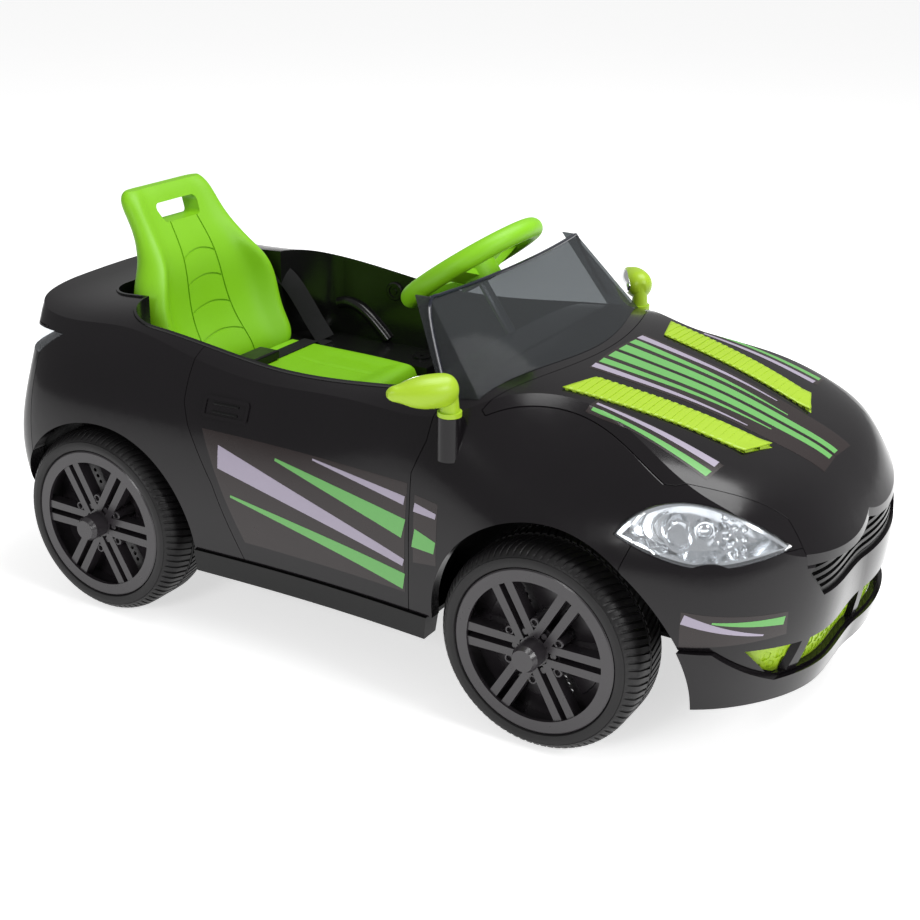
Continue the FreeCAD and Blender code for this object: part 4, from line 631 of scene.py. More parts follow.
@dataclass
class WheelTrim:
    """Treaded tyre, brake disc plates and nuts of one wheel."""

    wheel: Wheel
    radius: float = 116.0
    middle: float = 224.0
    bead: float = 93.0
    side_half: float = 42.0
    # Drop below the tread, distance from its middle and share of the lug depth.
    tread: tuple[Point3, ...] = (
        (0.3, 0.0, 0.0), (0.3, 0.7, 0.0), (1.7, 1.0, 0.0), (1.7, 2.0, 0.0), (0.0, 2.5, 1.0), (0.0, 10.0, 1.0),
        (0.0, 18.0, 1.0), (0.2, 24.0, 1.0), (1.2, 28.5, 1.0), (3.0, 32.5, 1.0), (5.4, 36.0, 0.85),
        (7.6, 38.4, 0.5), (9.2, 39.8, 0.0), (10.6, 40.7, 0.0), (11.1, 40.4, 0.0), (11.6, 41.1, 0.0),
    )
    wall_drop: float = 15.0
    # Height over the bead and distance inwards from the side wall.
    bead_lip: tuple[Point2, ...] = ((5.0, 0.0), (1.8, 0.6), (0.0, 3.4))
    lugs: int = 84
    lug_depth: float = 1.8
    lug_lean: float = 1.6
    # Share of the pitch and share of the cut, round one lug.
    lug_beats: tuple[Point2, ...] = ((0.0, 0.0), (0.3, 0.0), (0.6, 0.0), (0.67, 1.0), (0.8, 1.0), (0.93, 1.0))
    spokes: int = 6
    disc_face: float = 7.0
    plate_sink: float = 0.5
    plate_rise: float = 3.0
    plate_inner: float = 36.0
    plate_outer: float = 68.0
    plate_half_turn: float = 19.0
    plate_taper: float = 0.75
    plate_steps: int = 8
    plate_edge: float = 0.8
    nut_circle: float = 33.0
    nut_foot: float = 6.0
    nut_profile: tuple[Point2, ...] = (
        (6.2, 0.0), (5.6, 28.0), (5.6, 31.5), (4.8, 32.4), (3.5, 32.4), (3.0, 31.6), (3.0, 28.0), (0.4, 28.0)
    )

    @property
    def word(self) -> str:
        """Name of the wheel, as the names of pieces hold it."""
        return self.wheel.name.lower()

    @property
    def body(self) -> str:
        """CAD body of the wheel."""
        return f"wheel_{self.word}"

    def place(self, radius: float, turn: float, out: float) -> Vector:
        """Point on the wheel.

        Args:
            radius: Distance from the axle.
            turn: Angle round the axle.
            out: Distance outwards from the middle of the tread.

        Returns:
            The point in millimetres.
        """
        axle, side = self.wheel.value
        x = axle + radius * math.cos(turn)
        z = self.radius + radius * math.sin(turn)
        return Vector((x, side.value * (self.middle + out), z))

    def window(self, index: int) -> float:
        """Angle of the middle of a window between two spokes."""
        return 2 * math.pi * (index + 0.5) / self.spokes

    def half_section(self) -> list[Point3]:
        """Half section of the tyre from the middle ridge to the bead.

        Returns:
            Radius, distance from the middle and share of the lug depth.
        """
        tread = [(self.radius - drop, out, share) for drop, out, share in self.tread]
        wall = (self.radius - self.wall_drop, self.side_half, 0.0)
        lip = [(self.bead + over, self.side_half - inwards, 0.0) for over, inwards in self.bead_lip]
        return [*tread, wall, *lip]

    def tyre(self) -> Piece:
        """Tyre with two bands of slanted lugs.

        Returns:
            The tyre object.
        """
        half = self.half_section()
        rows = [*reversed(half), *((radius, -out, share) for radius, out, share in half[1:])]
        points = []
        for radius, out, share in rows:
            lean = self.lug_lean * abs(out) / self.side_half
            for lug in range(self.lugs):
                for beat, cut in self.lug_beats:
                    turn = 2 * math.pi * (lug + beat + lean) / self.lugs
                    points.append(self.place(radius - self.lug_depth * share * cut, turn, out))
        columns = self.lugs * len(self.lug_beats)
        faces = grid_faces(len(rows), columns, around=True)
        last = (len(rows) - 1) * columns
        for column in range(columns):
            after = (column + 1) % columns
            faces.append((last + column, last + after, after, column))
        piece = mesh_piece(f"tyre_tread_{self.word}", points, faces, Finish.TYRE, self.body, sharp=32.0)
        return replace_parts(piece, f"tyre_{self.word}")

    def disc_plate(self, index: int) -> Shape:
        """Raised wedge of the brake disc behind one window.

        Args:
            index: Number of the window.

        Returns:
            Points in millimetres and faces.
        """
        reach = math.radians(self.plate_half_turn)
        low = self.disc_face - self.plate_sink
        high = self.disc_face + self.plate_rise
        points = []
        for step in range(self.plate_steps + 1):
            swing = between(-reach, reach, step / self.plate_steps)
            inner = self.window(index) + swing * self.plate_taper
            outer = self.window(index) + swing
            points += [self.place(self.plate_inner, inner, low), self.place(self.plate_outer, outer, low)]
            points += [self.place(self.plate_outer, outer, high), self.place(self.plate_inner, inner, high)]
        return points, bar_faces(self.plate_steps + 1, 4)

    def disc_plates(self) -> Piece:
        """All wedges of the brake disc, with rounded edges.

        Returns:
            The plates in one object.
        """
        shape = merged(self.disc_plate(index) for index in range(self.spokes))
        piece = mesh_piece(f"disc_plates_{self.word}", *shape, Finish.RIM, self.body, sharp=30.0)
        bevel = piece.modifiers.new("rounded", "BEVEL")
        bevel.width = self.plate_edge * MM
        bevel.segments = 2
        return piece

    def lug_nuts(self) -> Piece:
        """Ringed nuts round the hub, between the spokes.

        Returns:
            The nuts in one object.
        """
        outwards = self.wheel.value[1].outwards
        turns = [self.window(index) for index in range(self.spokes)]
        feet = [self.place(self.nut_circle, turn, self.nut_foot) for turn in turns]
        shape = merged(turned(self.nut_profile, foot, outwards, sides=18) for foot in feet)
        return mesh_piece(f"lug_nuts_{self.word}", *shape, Finish.RIM, self.body, sharp=30.0)

    def build(self) -> list[Piece]:
        """Make the tyre, the disc plates and the nuts."""
        return [self.tyre(), self.disc_plates(), self.lug_nuts()]


@dataclass(frozen=True)
class Stripe:
    """Tapered straight stripe, as two ends with a width each."""

    finish: Finish
    start: Point2
    end: Point2
    start_width: float
    end_width: float
    skew: float = 0.0
    layer: int = 1

    def spot(self, share: float, reach: float) -> Vector:
        """Place on the stripe.

        Args:
            share: Share of the way from its start to its end.
            reach: Place across it, from -1 to 1.

        Returns:
            The place in the stripe's view, in millimetres.
        """
        run = Vector(self.end) - Vector(self.start)
        across = Vector((-run.y, run.x)).normalized()
        half = between(self.start_width, self.end_width, share) / 2
        slant = self.skew * reach * (1 - share)
        return Vector(self.start) + run * share + across * (half * reach) + run.normalized() * slant


@dataclass
class Graphics:
    """Straight racing stripes in film, mirrored on the two sides of the car."""

    lift: float = 0.14
    layer_lift: float = 0.14
    film: float = 0.1
    step: float = 4.0
    widest: float = 24.0
    bonnet_stripes: tuple[Stripe, ...] = (
        Stripe(Finish.FILM_BROWN, (206.0, 36.5), (470.0, 22.5), 72.0, 44.0, layer=0),
        Stripe(Finish.FILM_GREEN, (208.0, 14.0), (466.0, 9.0), 20.0, 11.0),
        Stripe(Finish.FILM_GREEN, (208.0, 41.0), (404.0, 26.0), 15.0, 2.0),
        Stripe(Finish.FILM_SILVER, (208.0, 61.0), (384.0, 46.0), 13.0, 2.0),
    )
    brow_stripes: tuple[Stripe, ...] = (
        Stripe(Finish.FILM_BROWN, (250.0, 151.0), (396.0, 164.0), 23.0, 36.0, layer=0),
        Stripe(Finish.FILM_SILVER, (254.0, 146.0), (392.0, 151.0), 4.0, 12.0),
        Stripe(Finish.FILM_GREEN, (254.0, 157.0), (392.0, 172.0), 4.0, 12.0),
    )
    side_stripes: tuple[Stripe, ...] = (
        Stripe(Finish.FILM_BROWN, (-164.0, 204.0), (86.0, 200.0), 128.0, 128.0, skew=-30.0, layer=0),
        Stripe(Finish.FILM_SILVER, (-168.0, 240.0), (84.0, 172.0), 26.0, 9.0, skew=-4.0),
        Stripe(Finish.FILM_GREEN, (-150.0, 196.0), (84.0, 149.0), 3.0, 20.0),
        Stripe(Finish.FILM_GREEN, (-90.0, 252.0), (84.0, 212.0), 3.0, 23.0),
        Stripe(Finish.FILM_SILVER, (-40.0, 262.0), (84.0, 244.0), 2.0, 10.0),
    )
    fender_stripes: tuple[Stripe, ...] = (
        Stripe(Finish.FILM_BROWN, (97.0, 215.0), (127.0, 215.0), 78.0, 70.0, layer=0),
        Stripe(Finish.FILM_GREEN, (97.0, 205.0), (125.0, 200.0), 22.0, 14.0),
        Stripe(Finish.FILM_SILVER, (97.0, 240.0), (125.0, 236.0), 10.0, 6.0),
    )
    corner_stripes: tuple[Stripe, ...] = (
        Stripe(Finish.FILM_BROWN, (402.0, 178.0), (486.0, 176.0), 40.0, 26.0, layer=0),
        Stripe(Finish.FILM_SILVER, (404.0, 190.0), (470.0, 168.0), 11.0, 2.0),
        Stripe(Finish.FILM_GREEN, (430.0, 187.0), (484.0, 180.0), 2.0, 9.0),
    )

    def count(self, length: float) -> int:
        """Number of grid points over a length."""
        return max(3, math.ceil(length / self.step) + 1)

    def strip(self, name: str, stripe: Stripe, skin: Skin, side: Side, facing: Facing) -> Piece:
        """Lay one stripe on a surface.

        Args:
            name: Name of the piece.
            stripe: Stripe to lay.
            skin: Surface that carries it.
            side: Side of the car.
            facing: View in which the stripe is drawn.

        Returns:
            The film piece.
        """
        columns = self.count((Vector(stripe.end) - Vector(stripe.start)).length)
        rows = self.count(max(stripe.start_width, stripe.end_width))
        lift = self.lift + self.layer_lift * stripe.layer
        places: dict[Cell, Vector] = {}
        for row in range(rows):
            for column in range(columns):
                spot = stripe.spot(column / (columns - 1), -1 + 2 * row / (rows - 1))
                if facing is Facing.PLAN:
                    place = skin.lay(Vector((spot.x, side.value * spot.y, OUTSIDE)), DOWN, lift)
                else:
                    start = Vector((spot.x, side.value * OUTSIDE, spot.y))
                    place = skin.lay(start, -side.outwards, lift)
                if place is not None:
                    places[row, column] = place
        piece = mesh_piece(name, *patch(places, self.widest), stripe.finish, slot=Finish.BODY)
        thicken(piece, self.film)
        piece.modifiers.new("normals", "WEIGHTED_NORMAL")
        return piece

    def build(self) -> list[Piece]:
        """Lay all stripes.

        Returns:
            The film pieces.
        """
        pieces = []
        for side in Side:
            groups = (
                ("bonnet_film", self.bonnet_stripes, "bonnet", Facing.PLAN),
                ("brow_film", self.brow_stripes, "bonnet", Facing.PLAN),
                ("side_film", self.side_stripes, f"door_{side.word}", Facing.SIDE),
                ("fender_film", self.fender_stripes, "front_body", Facing.SIDE),
                ("corner_film", self.corner_stripes, "front_bumper", Facing.SIDE),
            )
            for group, stripes, node, facing in groups:
                skin = Skin(node)
                for index, stripe in enumerate(stripes):
                    pieces.append(self.strip(f"{group}_{side.word}_{index}", stripe, skin, side, facing))
        return pieces


@dataclass
class VentPlate:
    """Shallow plate between the ribs of the bonnet vent on one side."""

    side: Side
    rear: float = 226.0
    front: float = 418.0
    # Distance of each long edge from the car's middle, at the rear and at the front.
    inner_edge: Point2 = (91.0, 61.5)
    outer_edge: Point2 = (143.0, 105.0)
    lean: float = -14.0
    under: float = 0.9
    thickness: float = 1.2
    rib_reach: float = 7.0
    rib_steps: int = 4
    end_margin: float = 0.06
    edge_margin: float = 0.08
    slope_ends: Point2 = (0.1, 0.9)
    rows: int = 9
    columns: int = 60

    def spot(self, along: float, across: float) -> Vector:
        """Place in the vent's outline.

        Args:
            along: Share of the length from the rear.
            across: Share of the width from the inner edge.

        Returns:
            The place in millimetres, above the car.
        """
        x = between(self.rear, self.front, along) + self.lean * across
        y = between(between(*self.inner_edge, along), between(*self.outer_edge, along), across)
        return Vector((x, self.side.value * y, OUTSIDE))

    def slope(self, skin: Skin) -> float:
        """Rise between two places near the ends, over the whole length of the vent."""
        low, high = (skin.lay(self.spot(along, 0.5), DOWN).z for along in self.slope_ends)
        return (high - low) / (self.front - self.rear)

    def rib_top(self, skin: Skin, along: float, across: float, slope: float) -> float:
        """Height of the rib tops near a place.

        Args:
            skin: Surface of the vents.
            along: Share of the length from the rear.
            across: Share of the width from the inner edge.
            slope: Slope of the vent.

        Returns:
            The height in millimetres.
        """
        inside_along = clamped(along, self.end_margin, 1 - self.end_margin)
        inside_across = clamped(across, self.edge_margin, 1 - self.edge_margin)
        place = self.spot(inside_along, inside_across)
        levels = []
        for step in range(-self.rib_steps, self.rib_steps + 1):
            ahead = self.rib_reach * step / self.rib_steps
            hit = skin.lay(place + Vector((ahead, 0.0, 0.0)), DOWN)
            if hit is not None:
                levels.append(hit.z - ahead * slope)
        return max(levels) + (self.spot(along, across).x - place.x) * slope

    def build(self) -> list[Piece]:
        """Lay the plate just under the tops of the ribs.

        Returns:
            The plate.
        """
        skin = Skin("bonnet_vents")
        slope = self.slope(skin)
        points: list[Vector] = []
        for row in range(self.rows):
            for column in range(self.columns):
                along = column / (self.columns - 1)
                across = row / (self.rows - 1)
                place = self.spot(along, across)
                place.z = self.rib_top(skin, along, across, slope) - self.under
                points.append(place)
        faces = grid_faces(self.rows, self.columns)
        piece = mesh_piece(f"vent_plate_{self.side.word}", points, faces, Finish.LIME)
        return [thicken(piece, self.thickness, -self.side.value)]


@dataclass
class MeshBacking:
    """Lime sheet behind the holes of the lower mesh."""

    node: str = "lower_mesh"
    step: float = 2.0
    hole_steps: int = 4
    behind: float = 1.6
    thickness: float = 0.6

    def front(self, hits: dict[Cell, float], row: int, column: int) -> float | None:
        """Front of the mesh at a place that is on it or in one of its holes.

        Args:
            hits: Front of the mesh at each place that is on it.
            row: Row of the place.
            column: Column of the place.

        Returns:
            The distance forwards in millimetres, or None away from the mesh.
        """
        if (row, column) in hits:
            return hits[row, column]
        for down, over in ((0, 1), (1, 0), (1, 1), (1, -1)):
            ends = []
            for way in (1, -1):
                reach = [way * count for count in range(1, self.hole_steps + 1)]
                cells = [(row + down * count, column + over * count) for count in reach]
                ends += [hits[cell] for cell in cells if cell in hits][:1]
            if len(ends) == 2:
                return sum(ends) / 2
        return None

    def build(self) -> list[Piece]:
        """Lay the sheet behind the mesh fields.

        Returns:
            The sheet.
        """
        skin = Skin(self.node)
        low, high = (Vector(corner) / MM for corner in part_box(self.node))
        spots: dict[Cell, Vector] = {}
        for row in range(int((high.z - low.z) / self.step) + 1):
            for column in range(int((high.y - low.y) / self.step) + 1):
                spots[row, column] = Vector((OUTSIDE, low.y + column * self.step, low.z + row * self.step))
        found = {cell: skin.lay(spot, BACKWARDS) for cell, spot in spots.items()}
        hits = {cell: hit.x for cell, hit in found.items() if hit is not None}
        places: dict[Cell, Vector] = {}
        for cell, spot in spots.items():
            front = self.front(hits, *cell)
            if front is not None:
                places[cell] = Vector((front - self.behind, spot.y, spot.z))
        piece = mesh_piece("mesh_backing", *patch(places), Finish.LIME)
        return [thicken(piece, self.thickness)]


@dataclass
class ArmRest:
    """Moulded arm rest roll and round stud on the inner wall beside the driver."""

    side: Side
    path: tuple[Point2, ...] = (
        (-312.0, 291.0), (-296.0, 294.5), (-276.0, 290.0), (-256.0, 277.0), (-238.0, 261.0), (-228.0, 251.0)
    )
    radius: float = 8.0
    lift: float = 1.0
    stud: Point2 = (-218.0, 322.0)
    stud_profile: tuple[Point2, ...] = (
        (13.0, -0.5), (13.0, 2.4), (11.5, 3.4), (8.5, 3.4), (8.0, 1.6), (4.5, 1.6), (3.5, 2.8), (0.4, 2.8)
    )

    def build(self) -> list[Piece]:
        """Make the roll and the stud on the wall.

        Returns:
            The two pieces.
        """
        skin = Skin("cockpit_tub")
        outwards = self.side.outwards
        line = smooth_path([Vector((x, 0.0, z)) for x, z in self.path])
        roll = tube(skin.follow(line, outwards, self.lift), self.radius, sides=14)
        foot = skin.lay(Vector((self.stud[0], 0.0, self.stud[1])), outwards)
        stud = turned(self.stud_profile, foot, -outwards, sides=28)
        shapes = {"arm_rest": roll, "wall_stud": stud}
        return [
            mesh_piece(f"{name}_{self.side.word}", *shape, Finish.LINER, sharp=30.0)
            for name, shape in shapes.items()
        ]


@dataclass
class Headlight:
    """Reflector ridges, projector and lamp cells behind one headlight lens."""

    side: Side
    corner: Point2 = (323.0, 243.0)
    along: Point2 = (0.857, -0.515)
    out: Point2 = (0.515, 0.857)
    before: float = 90.0
    middle_height: float = 267.0
    sink: float = 0.5
    projector_at: float = 90.0
    projector_profile: tuple[Point2, ...] = (
        (11.0, 0.0), (11.0, 7.0), (10.0, 8.0), (8.4, 8.0), (8.4, 5.0), (7.6, 6.6), (5.0, 8.6), (1.0, 9.6)
    )
    cell_at: float = 112.0
    cell_pitch: float = 9.5
    cell_drop: float = 1.2
    cell_profile: tuple[Point2, ...] = ((4.2, 0.0), (4.2, 2.4), (3.5, 4.2), (2.2, 5.4), (0.6, 5.9))
    ridge_count: int = 4
    ridge_radius: float = 1.6
    ridge_lift: float = 3.0
    ridge_at: float = 78.0
    ridge_first: float = 22.0
    ridge_pitch: float = 9.0
    ridge_stretch: Point2 = (1.25, 0.62)
    ridge_turn: Point2 = (126.0, 234.0)
    ridge_steps: int = 14
    ridge_least: int = 4

    @property
    def axis(self) -> Vector:
        """Direction in which the lamp shines."""
        return Vector((self.out[0], self.side.value * self.out[1], 0.0))

    def spot(self, skin: Skin, along: float, height: float, lift: float) -> Vector | None:
        """Point in the lamp.

        Args:
            skin: Bowl surface.
            along: Distance from the outer end of the lamp.
            height: Height above the floor.
            lift: Distance in front of the bowl.

        Returns:
            The point in millimetres, or None outside the bowl.
        """
        x = self.corner[0] + self.along[0] * along + self.out[0] * self.before
        y = self.corner[1] + self.along[1] * along + self.out[1] * self.before
        place = skin.lay(Vector((x, self.side.value * y, height)), -self.axis)
        return None if place is None else place + self.axis * lift

    def cells(self, skin: Skin) -> dict[str, Shape]:
        """Three rows of three round lamp cells.

        Args:
            skin: Bowl surface.

        Returns:
            Points and faces by name.
        """
        shapes = {}
        for row in range(3):
            for column in range(3):
                height = self.middle_height + (row - 1) * self.cell_pitch - column * self.cell_drop
                foot = self.spot(skin, self.cell_at + column * self.cell_pitch, height, -self.sink)
                if foot is not None:
                    name = f"lamp_cell_{self.side.word}_{row}_{column}"
                    shapes[name] = turned(self.cell_profile, foot, self.axis, sides=16)
        return shapes

    def ridges(self, skin: Skin) -> dict[str, Shape]:
        """Curved reflector ridges round the projector.

        Args:
            skin: Bowl surface.

        Returns:
            Points and faces by name.
        """
        shapes = {}
        for ridge in range(self.ridge_count):
            reach = self.ridge_first + self.ridge_pitch * ridge
            path = []
            for step in range(self.ridge_steps + 1):
                turn = math.radians(between(*self.ridge_turn, step / self.ridge_steps))
                along = self.ridge_at + reach * math.cos(turn) * self.ridge_stretch[0]
                height = self.middle_height + reach * math.sin(turn) * self.ridge_stretch[1]
                place = self.spot(skin, along, height, self.ridge_lift)
                if place is not None:
                    path.append(place)
            if len(path) >= self.ridge_least:
                shapes[f"lamp_ridge_{self.side.word}_{ridge}"] = tube(path, self.ridge_radius)
        return shapes

    def build(self) -> list[Piece]:
        """Make the pieces of the lamp.

        Returns:
            The projector, the cells and the ridges.
        """
        skin = Skin(f"headlight_bowl_{self.side.word}")
        foot = self.spot(skin, self.projector_at, self.middle_height, -self.sink)
        projector = turned(self.projector_profile, foot, self.axis, sides=32)
        shapes = {f"projector_{self.side.word}": projector, **self.cells(skin), **self.ridges(skin)}
        return [mesh_piece(name, *shape, Finish.BOWL, sharp=40.0) for name, shape in shapes.items()]


@dataclass
class MirrorGlass:
    """Silvered glass on the rear side of one mirror head."""

    side: Side
    stem: Point3 = (129.0, 236.0, 373.5)
    sweep: float = 129.0
    ahead: float = 27.0
    half_long: float = 29.0
    half_tall: float = 13.0
    thickness: float = 0.5
    lift: float = 0.5
    behind: float = 120.0
    rings: int = 7
    sides: int = 40

    def build(self) -> list[Piece]:
        """Lay the glass on the head.

        Returns:
            The glass.
        """
        node = f"mirror_{self.side.word}"
        skin = Skin(node)
        turn = math.radians(self.sweep)
        along = Vector((math.cos(turn), self.side.value * math.sin(turn), 0.0))
        back = Vector((-math.sin(turn), self.side.value * math.cos(turn), 0.0))
        middle = Vector((self.stem[0], self.side.value * self.stem[1], self.stem[2])) + along * self.ahead
        points: list[Vector] = []
        for ring in range(self.rings):
            share = ring / (self.rings - 1)
            for index in range(self.sides):
                angle = 2 * math.pi * index / self.sides
                offset = along * (self.half_long * share * math.cos(angle))
                offset += Vector((0, 0, self.half_tall * share * math.sin(angle)))
                place = skin.lay(middle + offset + back * self.behind, -back, self.lift)
                points.append(place if place is not None else middle + offset)
        faces = grid_faces(self.rings, self.sides, around=True)
        piece = mesh_piece(f"mirror_glass_{self.side.word}", points, faces, Finish.BOWL, node)
        return [thicken(piece, self.thickness, -1.0)]


@dataclass
class DoorHandle:
    """Moulded grip plate with two bars on one door."""

    side: Side
    rear: float = -196.0
    front: float = -134.0
    foot: float = 281.0
    top: float = 305.0
    corner: float = 5.0
    corner_steps: int = 5
    # Distance inwards from the plate's edge and height above the door.
    section: tuple[Point2, ...] = ((0.0, -0.3), (0.0, 1.8), (4.0, 1.8), (4.0, 0.3), (9.0, 0.3))
    bar_heights: Point2 = (288.5, 297.5)
    bar_margin: float = 14.0
    bar_radius: float = 1.5
    bar_lift: float = 0.6
    bar_steps: int = 8

    def outline(self, inset: float) -> list[Point2]:
        """Rounded outline of the plate.

        Args:
            inset: Distance inwards from the outer edge.

        Returns:
            Points in side view.
        """
        radius = max(self.corner - inset, 1.0)
        rear, front = self.rear + inset + radius, self.front - inset - radius
        foot, top = self.foot + inset + radius, self.top - inset - radius
        points: list[Point2] = []
        for quarter, (x, z) in enumerate(((front, top), (rear, top), (rear, foot), (front, foot))):
            for step in range(self.corner_steps + 1):
                angle = math.pi / 2 * (quarter + step / self.corner_steps)
                points.append((x + radius * math.cos(angle), z + radius * math.sin(angle)))
        return points

    def lay(self, skin: Skin, line: Iterable[Point2], lift: float) -> list[Vector]:
        """Lay a line of side view points on the door."""
        starts = [Vector((x, self.side.value * OUTSIDE, z)) for x, z in line]
        return skin.follow(starts, -self.side.outwards, lift)

    def build(self) -> list[Piece]:
        """Make the plate and its bars.

        Returns:
            The plate and the bars.
        """
        word = self.side.word
        skin = Skin(f"door_{word}")
        rings = [self.lay(skin, self.outline(inset), lift) for inset, lift in self.section]
        points = [place for ring in rings for place in ring]
        sides = len(rings[0])
        floor = tuple(range(len(points) - sides, len(points)))
        faces = [*grid_faces(len(rings), sides, around=True), floor]
        pieces = [mesh_piece(f"door_grip_{word}", points, faces, Finish.BODY, sharp=30.0)]
        rear, front = self.rear + self.bar_margin, self.front - self.bar_margin
        places = [between(rear, front, step / self.bar_steps) for step in range(self.bar_steps + 1)]
        for index, height in enumerate(self.bar_heights):
            path = self.lay(skin, [(x, height) for x in places], self.bar_lift)
            bar = tube(path, self.bar_radius)
            pieces.append(mesh_piece(f"grip_bar_{word}_{index}", *bar, Finish.PAN, sharp=40.0))
        return pieces


@dataclass
class ScreenRim:
    """Rolled rim round the top and sides of the windscreen."""

    foot: float = 364.0
    over_top: float = 470.0
    inside_half: float = 100.0
    outside_half: float = 230.0
    # The screen's side returns lie behind this place along the car.
    returns_behind: float = 40.0
    corner_drop: float = 8.0
    corner_inset: float = 6.0
    edge_inset: float = 0.6
    lift: float = 0.4
    radius: float = 2.0
    rise_steps: int = 14
    across_steps: int = 30

    def depth(self, skin: Skin, across: float, height: float) -> float:
        """Place of the screen along the car, or minus infinity beside it."""
        hit = skin.lay(Vector((OUTSIDE, across, height)), BACKWARDS)
        return -math.inf if hit is None else hit.x

    def half_width(self, skin: Skin, height: float) -> float:
        """Half width of the screen at a height.

        Args:
            skin: Screen surface.
            height: Height above the floor.

        Returns:
            The half width in millimetres.
        """
        def on_front(half: float) -> bool:
            """Whether the screen's front reaches this far out."""
            return self.depth(skin, -half, height) > self.returns_behind

        return last_inside(on_front, self.inside_half, self.outside_half)

    def top(self, skin: Skin, across: float) -> float:
        """Top height of the screen at one place across.

        Args:
            skin: Screen surface.
            across: Distance from the middle.

        Returns:
            The height in millimetres.
        """
        def on_screen(height: float) -> bool:
            """Whether the screen reaches this far up."""
            return self.depth(skin, across, height) > -math.inf

        return last_inside(on_screen, self.foot, self.over_top)

    def build(self) -> list[Piece]:
        """Make the rim.

        Returns:
            The rim.
        """
        skin = Skin("windscreen")
        corner = self.top(skin, 0.0) - self.corner_drop
        right: list[Point2] = []
        for step in range(self.rise_steps + 1):
            height = between(self.foot, corner, step / self.rise_steps)
            right.append((self.edge_inset - self.half_width(skin, height), height))
        reach = self.half_width(skin, corner) - self.corner_inset
        over: list[Point2] = []
        for step in range(self.across_steps + 1):
            across = between(-reach, reach, step / self.across_steps)
            over.append((across, self.top(skin, across) - self.edge_inset))
        left = [(-across, height) for across, height in reversed(right)]
        starts = [Vector((OUTSIDE, across, height)) for across, height in [*right, *over, *left]]
        path = smooth_path(skin.follow(starts, BACKWARDS, self.lift), 2)
        shape = tube(path, self.radius)
        return [mesh_piece("screen_rim", *shape, Finish.SCREEN_EDGE, slot=Finish.SCREEN, sharp=40.0)]


@dataclass
class SeatCushion:
    """Moulded seat base with rolled edges, a dished middle and two long channels."""

    rear: float = -330.0
    front: float = -125.0
    half: float = 122.0
    foot: float = 206.6
    top: float = 257.0
    roll: float = 17.0
    corner: float = 0.24
    dish: float = 3.0
    dish_from: float = -288.0
    dish_run: float = 40.0
    rim: float = 18.0
    rim_run: float = 22.0
    channel: float = 1.8
    channel_at: float = 52.0
    channel_half: float = 2.4
    rows: int = 64
    columns: int = 97

    def height(self, x: float, y: float, edge: float) -> float:
        """Height of the top.

        Args:
            x: Place forwards.
            y: Place across.
            edge: Distance from the nearest rolled edge.

        Returns:
            The height in millimetres.
        """
        short = 1 - min(edge / self.roll, 1.0)
        drop = self.roll * (1 - math.sqrt(1 - short**2))
        ahead = clamped((x - self.dish_from) / self.dish_run)
        inside = clamped((edge - self.rim) / self.rim_run)
        dish = self.dish * ahead * inside**2 * (3 - 2 * inside)
        off = (abs(y) - self.channel_at) / self.channel_half
        return self.top - drop - dish - self.channel * math.exp(-(off**2)) * ahead * inside

    def top_points(self) -> list[Vector]:
        """Grid of points over the top, with the front corners drawn in.

        Returns:
            The points in millimetres, row by row from the rear.
        """
        middle = (self.rear + self.front) / 2
        reach = (self.front - self.rear) / 2
        points: list[Vector] = []
        for row in range(self.rows):
            for column in range(self.columns):
                ahead = 2 * row / (self.rows - 1) - 1
                over = 2 * column / (self.columns - 1) - 1
                pull = self.corner * max(ahead, 0.0)
                x = middle + reach * ahead * math.sqrt(1 - pull * over**2 / 2)
                y = self.half * over * math.sqrt(1 - pull * ahead / 2)
                edge = min((1 - ahead) * reach, (1 - abs(over)) * self.half)
                points.append(Vector((x, y, self.height(x, y, edge))))
        return points

    def build(self) -> list[Piece]:
        """Make the cushion in place of the plain base.

        Returns:
            The cushion.
        """
        rows, columns = self.rows, self.columns
        points = self.top_points()
        faces = grid_faces(rows, columns)
        rim = [
            *range(columns),
            *(row * columns + columns - 1 for row in range(1, rows)),
            *((rows - 1) * columns + column for column in range(columns - 2, -1, -1)),
            *(row * columns for row in range(rows - 2, 0, -1)),
        ]
        base = len(points)
        points += [Vector((points[corner].x, points[corner].y, self.foot)) for corner in rim]
        for index, corner in enumerate(rim):
            after = (index + 1) % len(rim)
            faces.append((corner, rim[after], base + after, base + index))
        faces.append(tuple(range(base, base + len(rim))))
        piece = mesh_piece("seat_cushion", points, faces, Finish.SEAT, sharp=50.0)
        return [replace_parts(piece, "seat_base")]


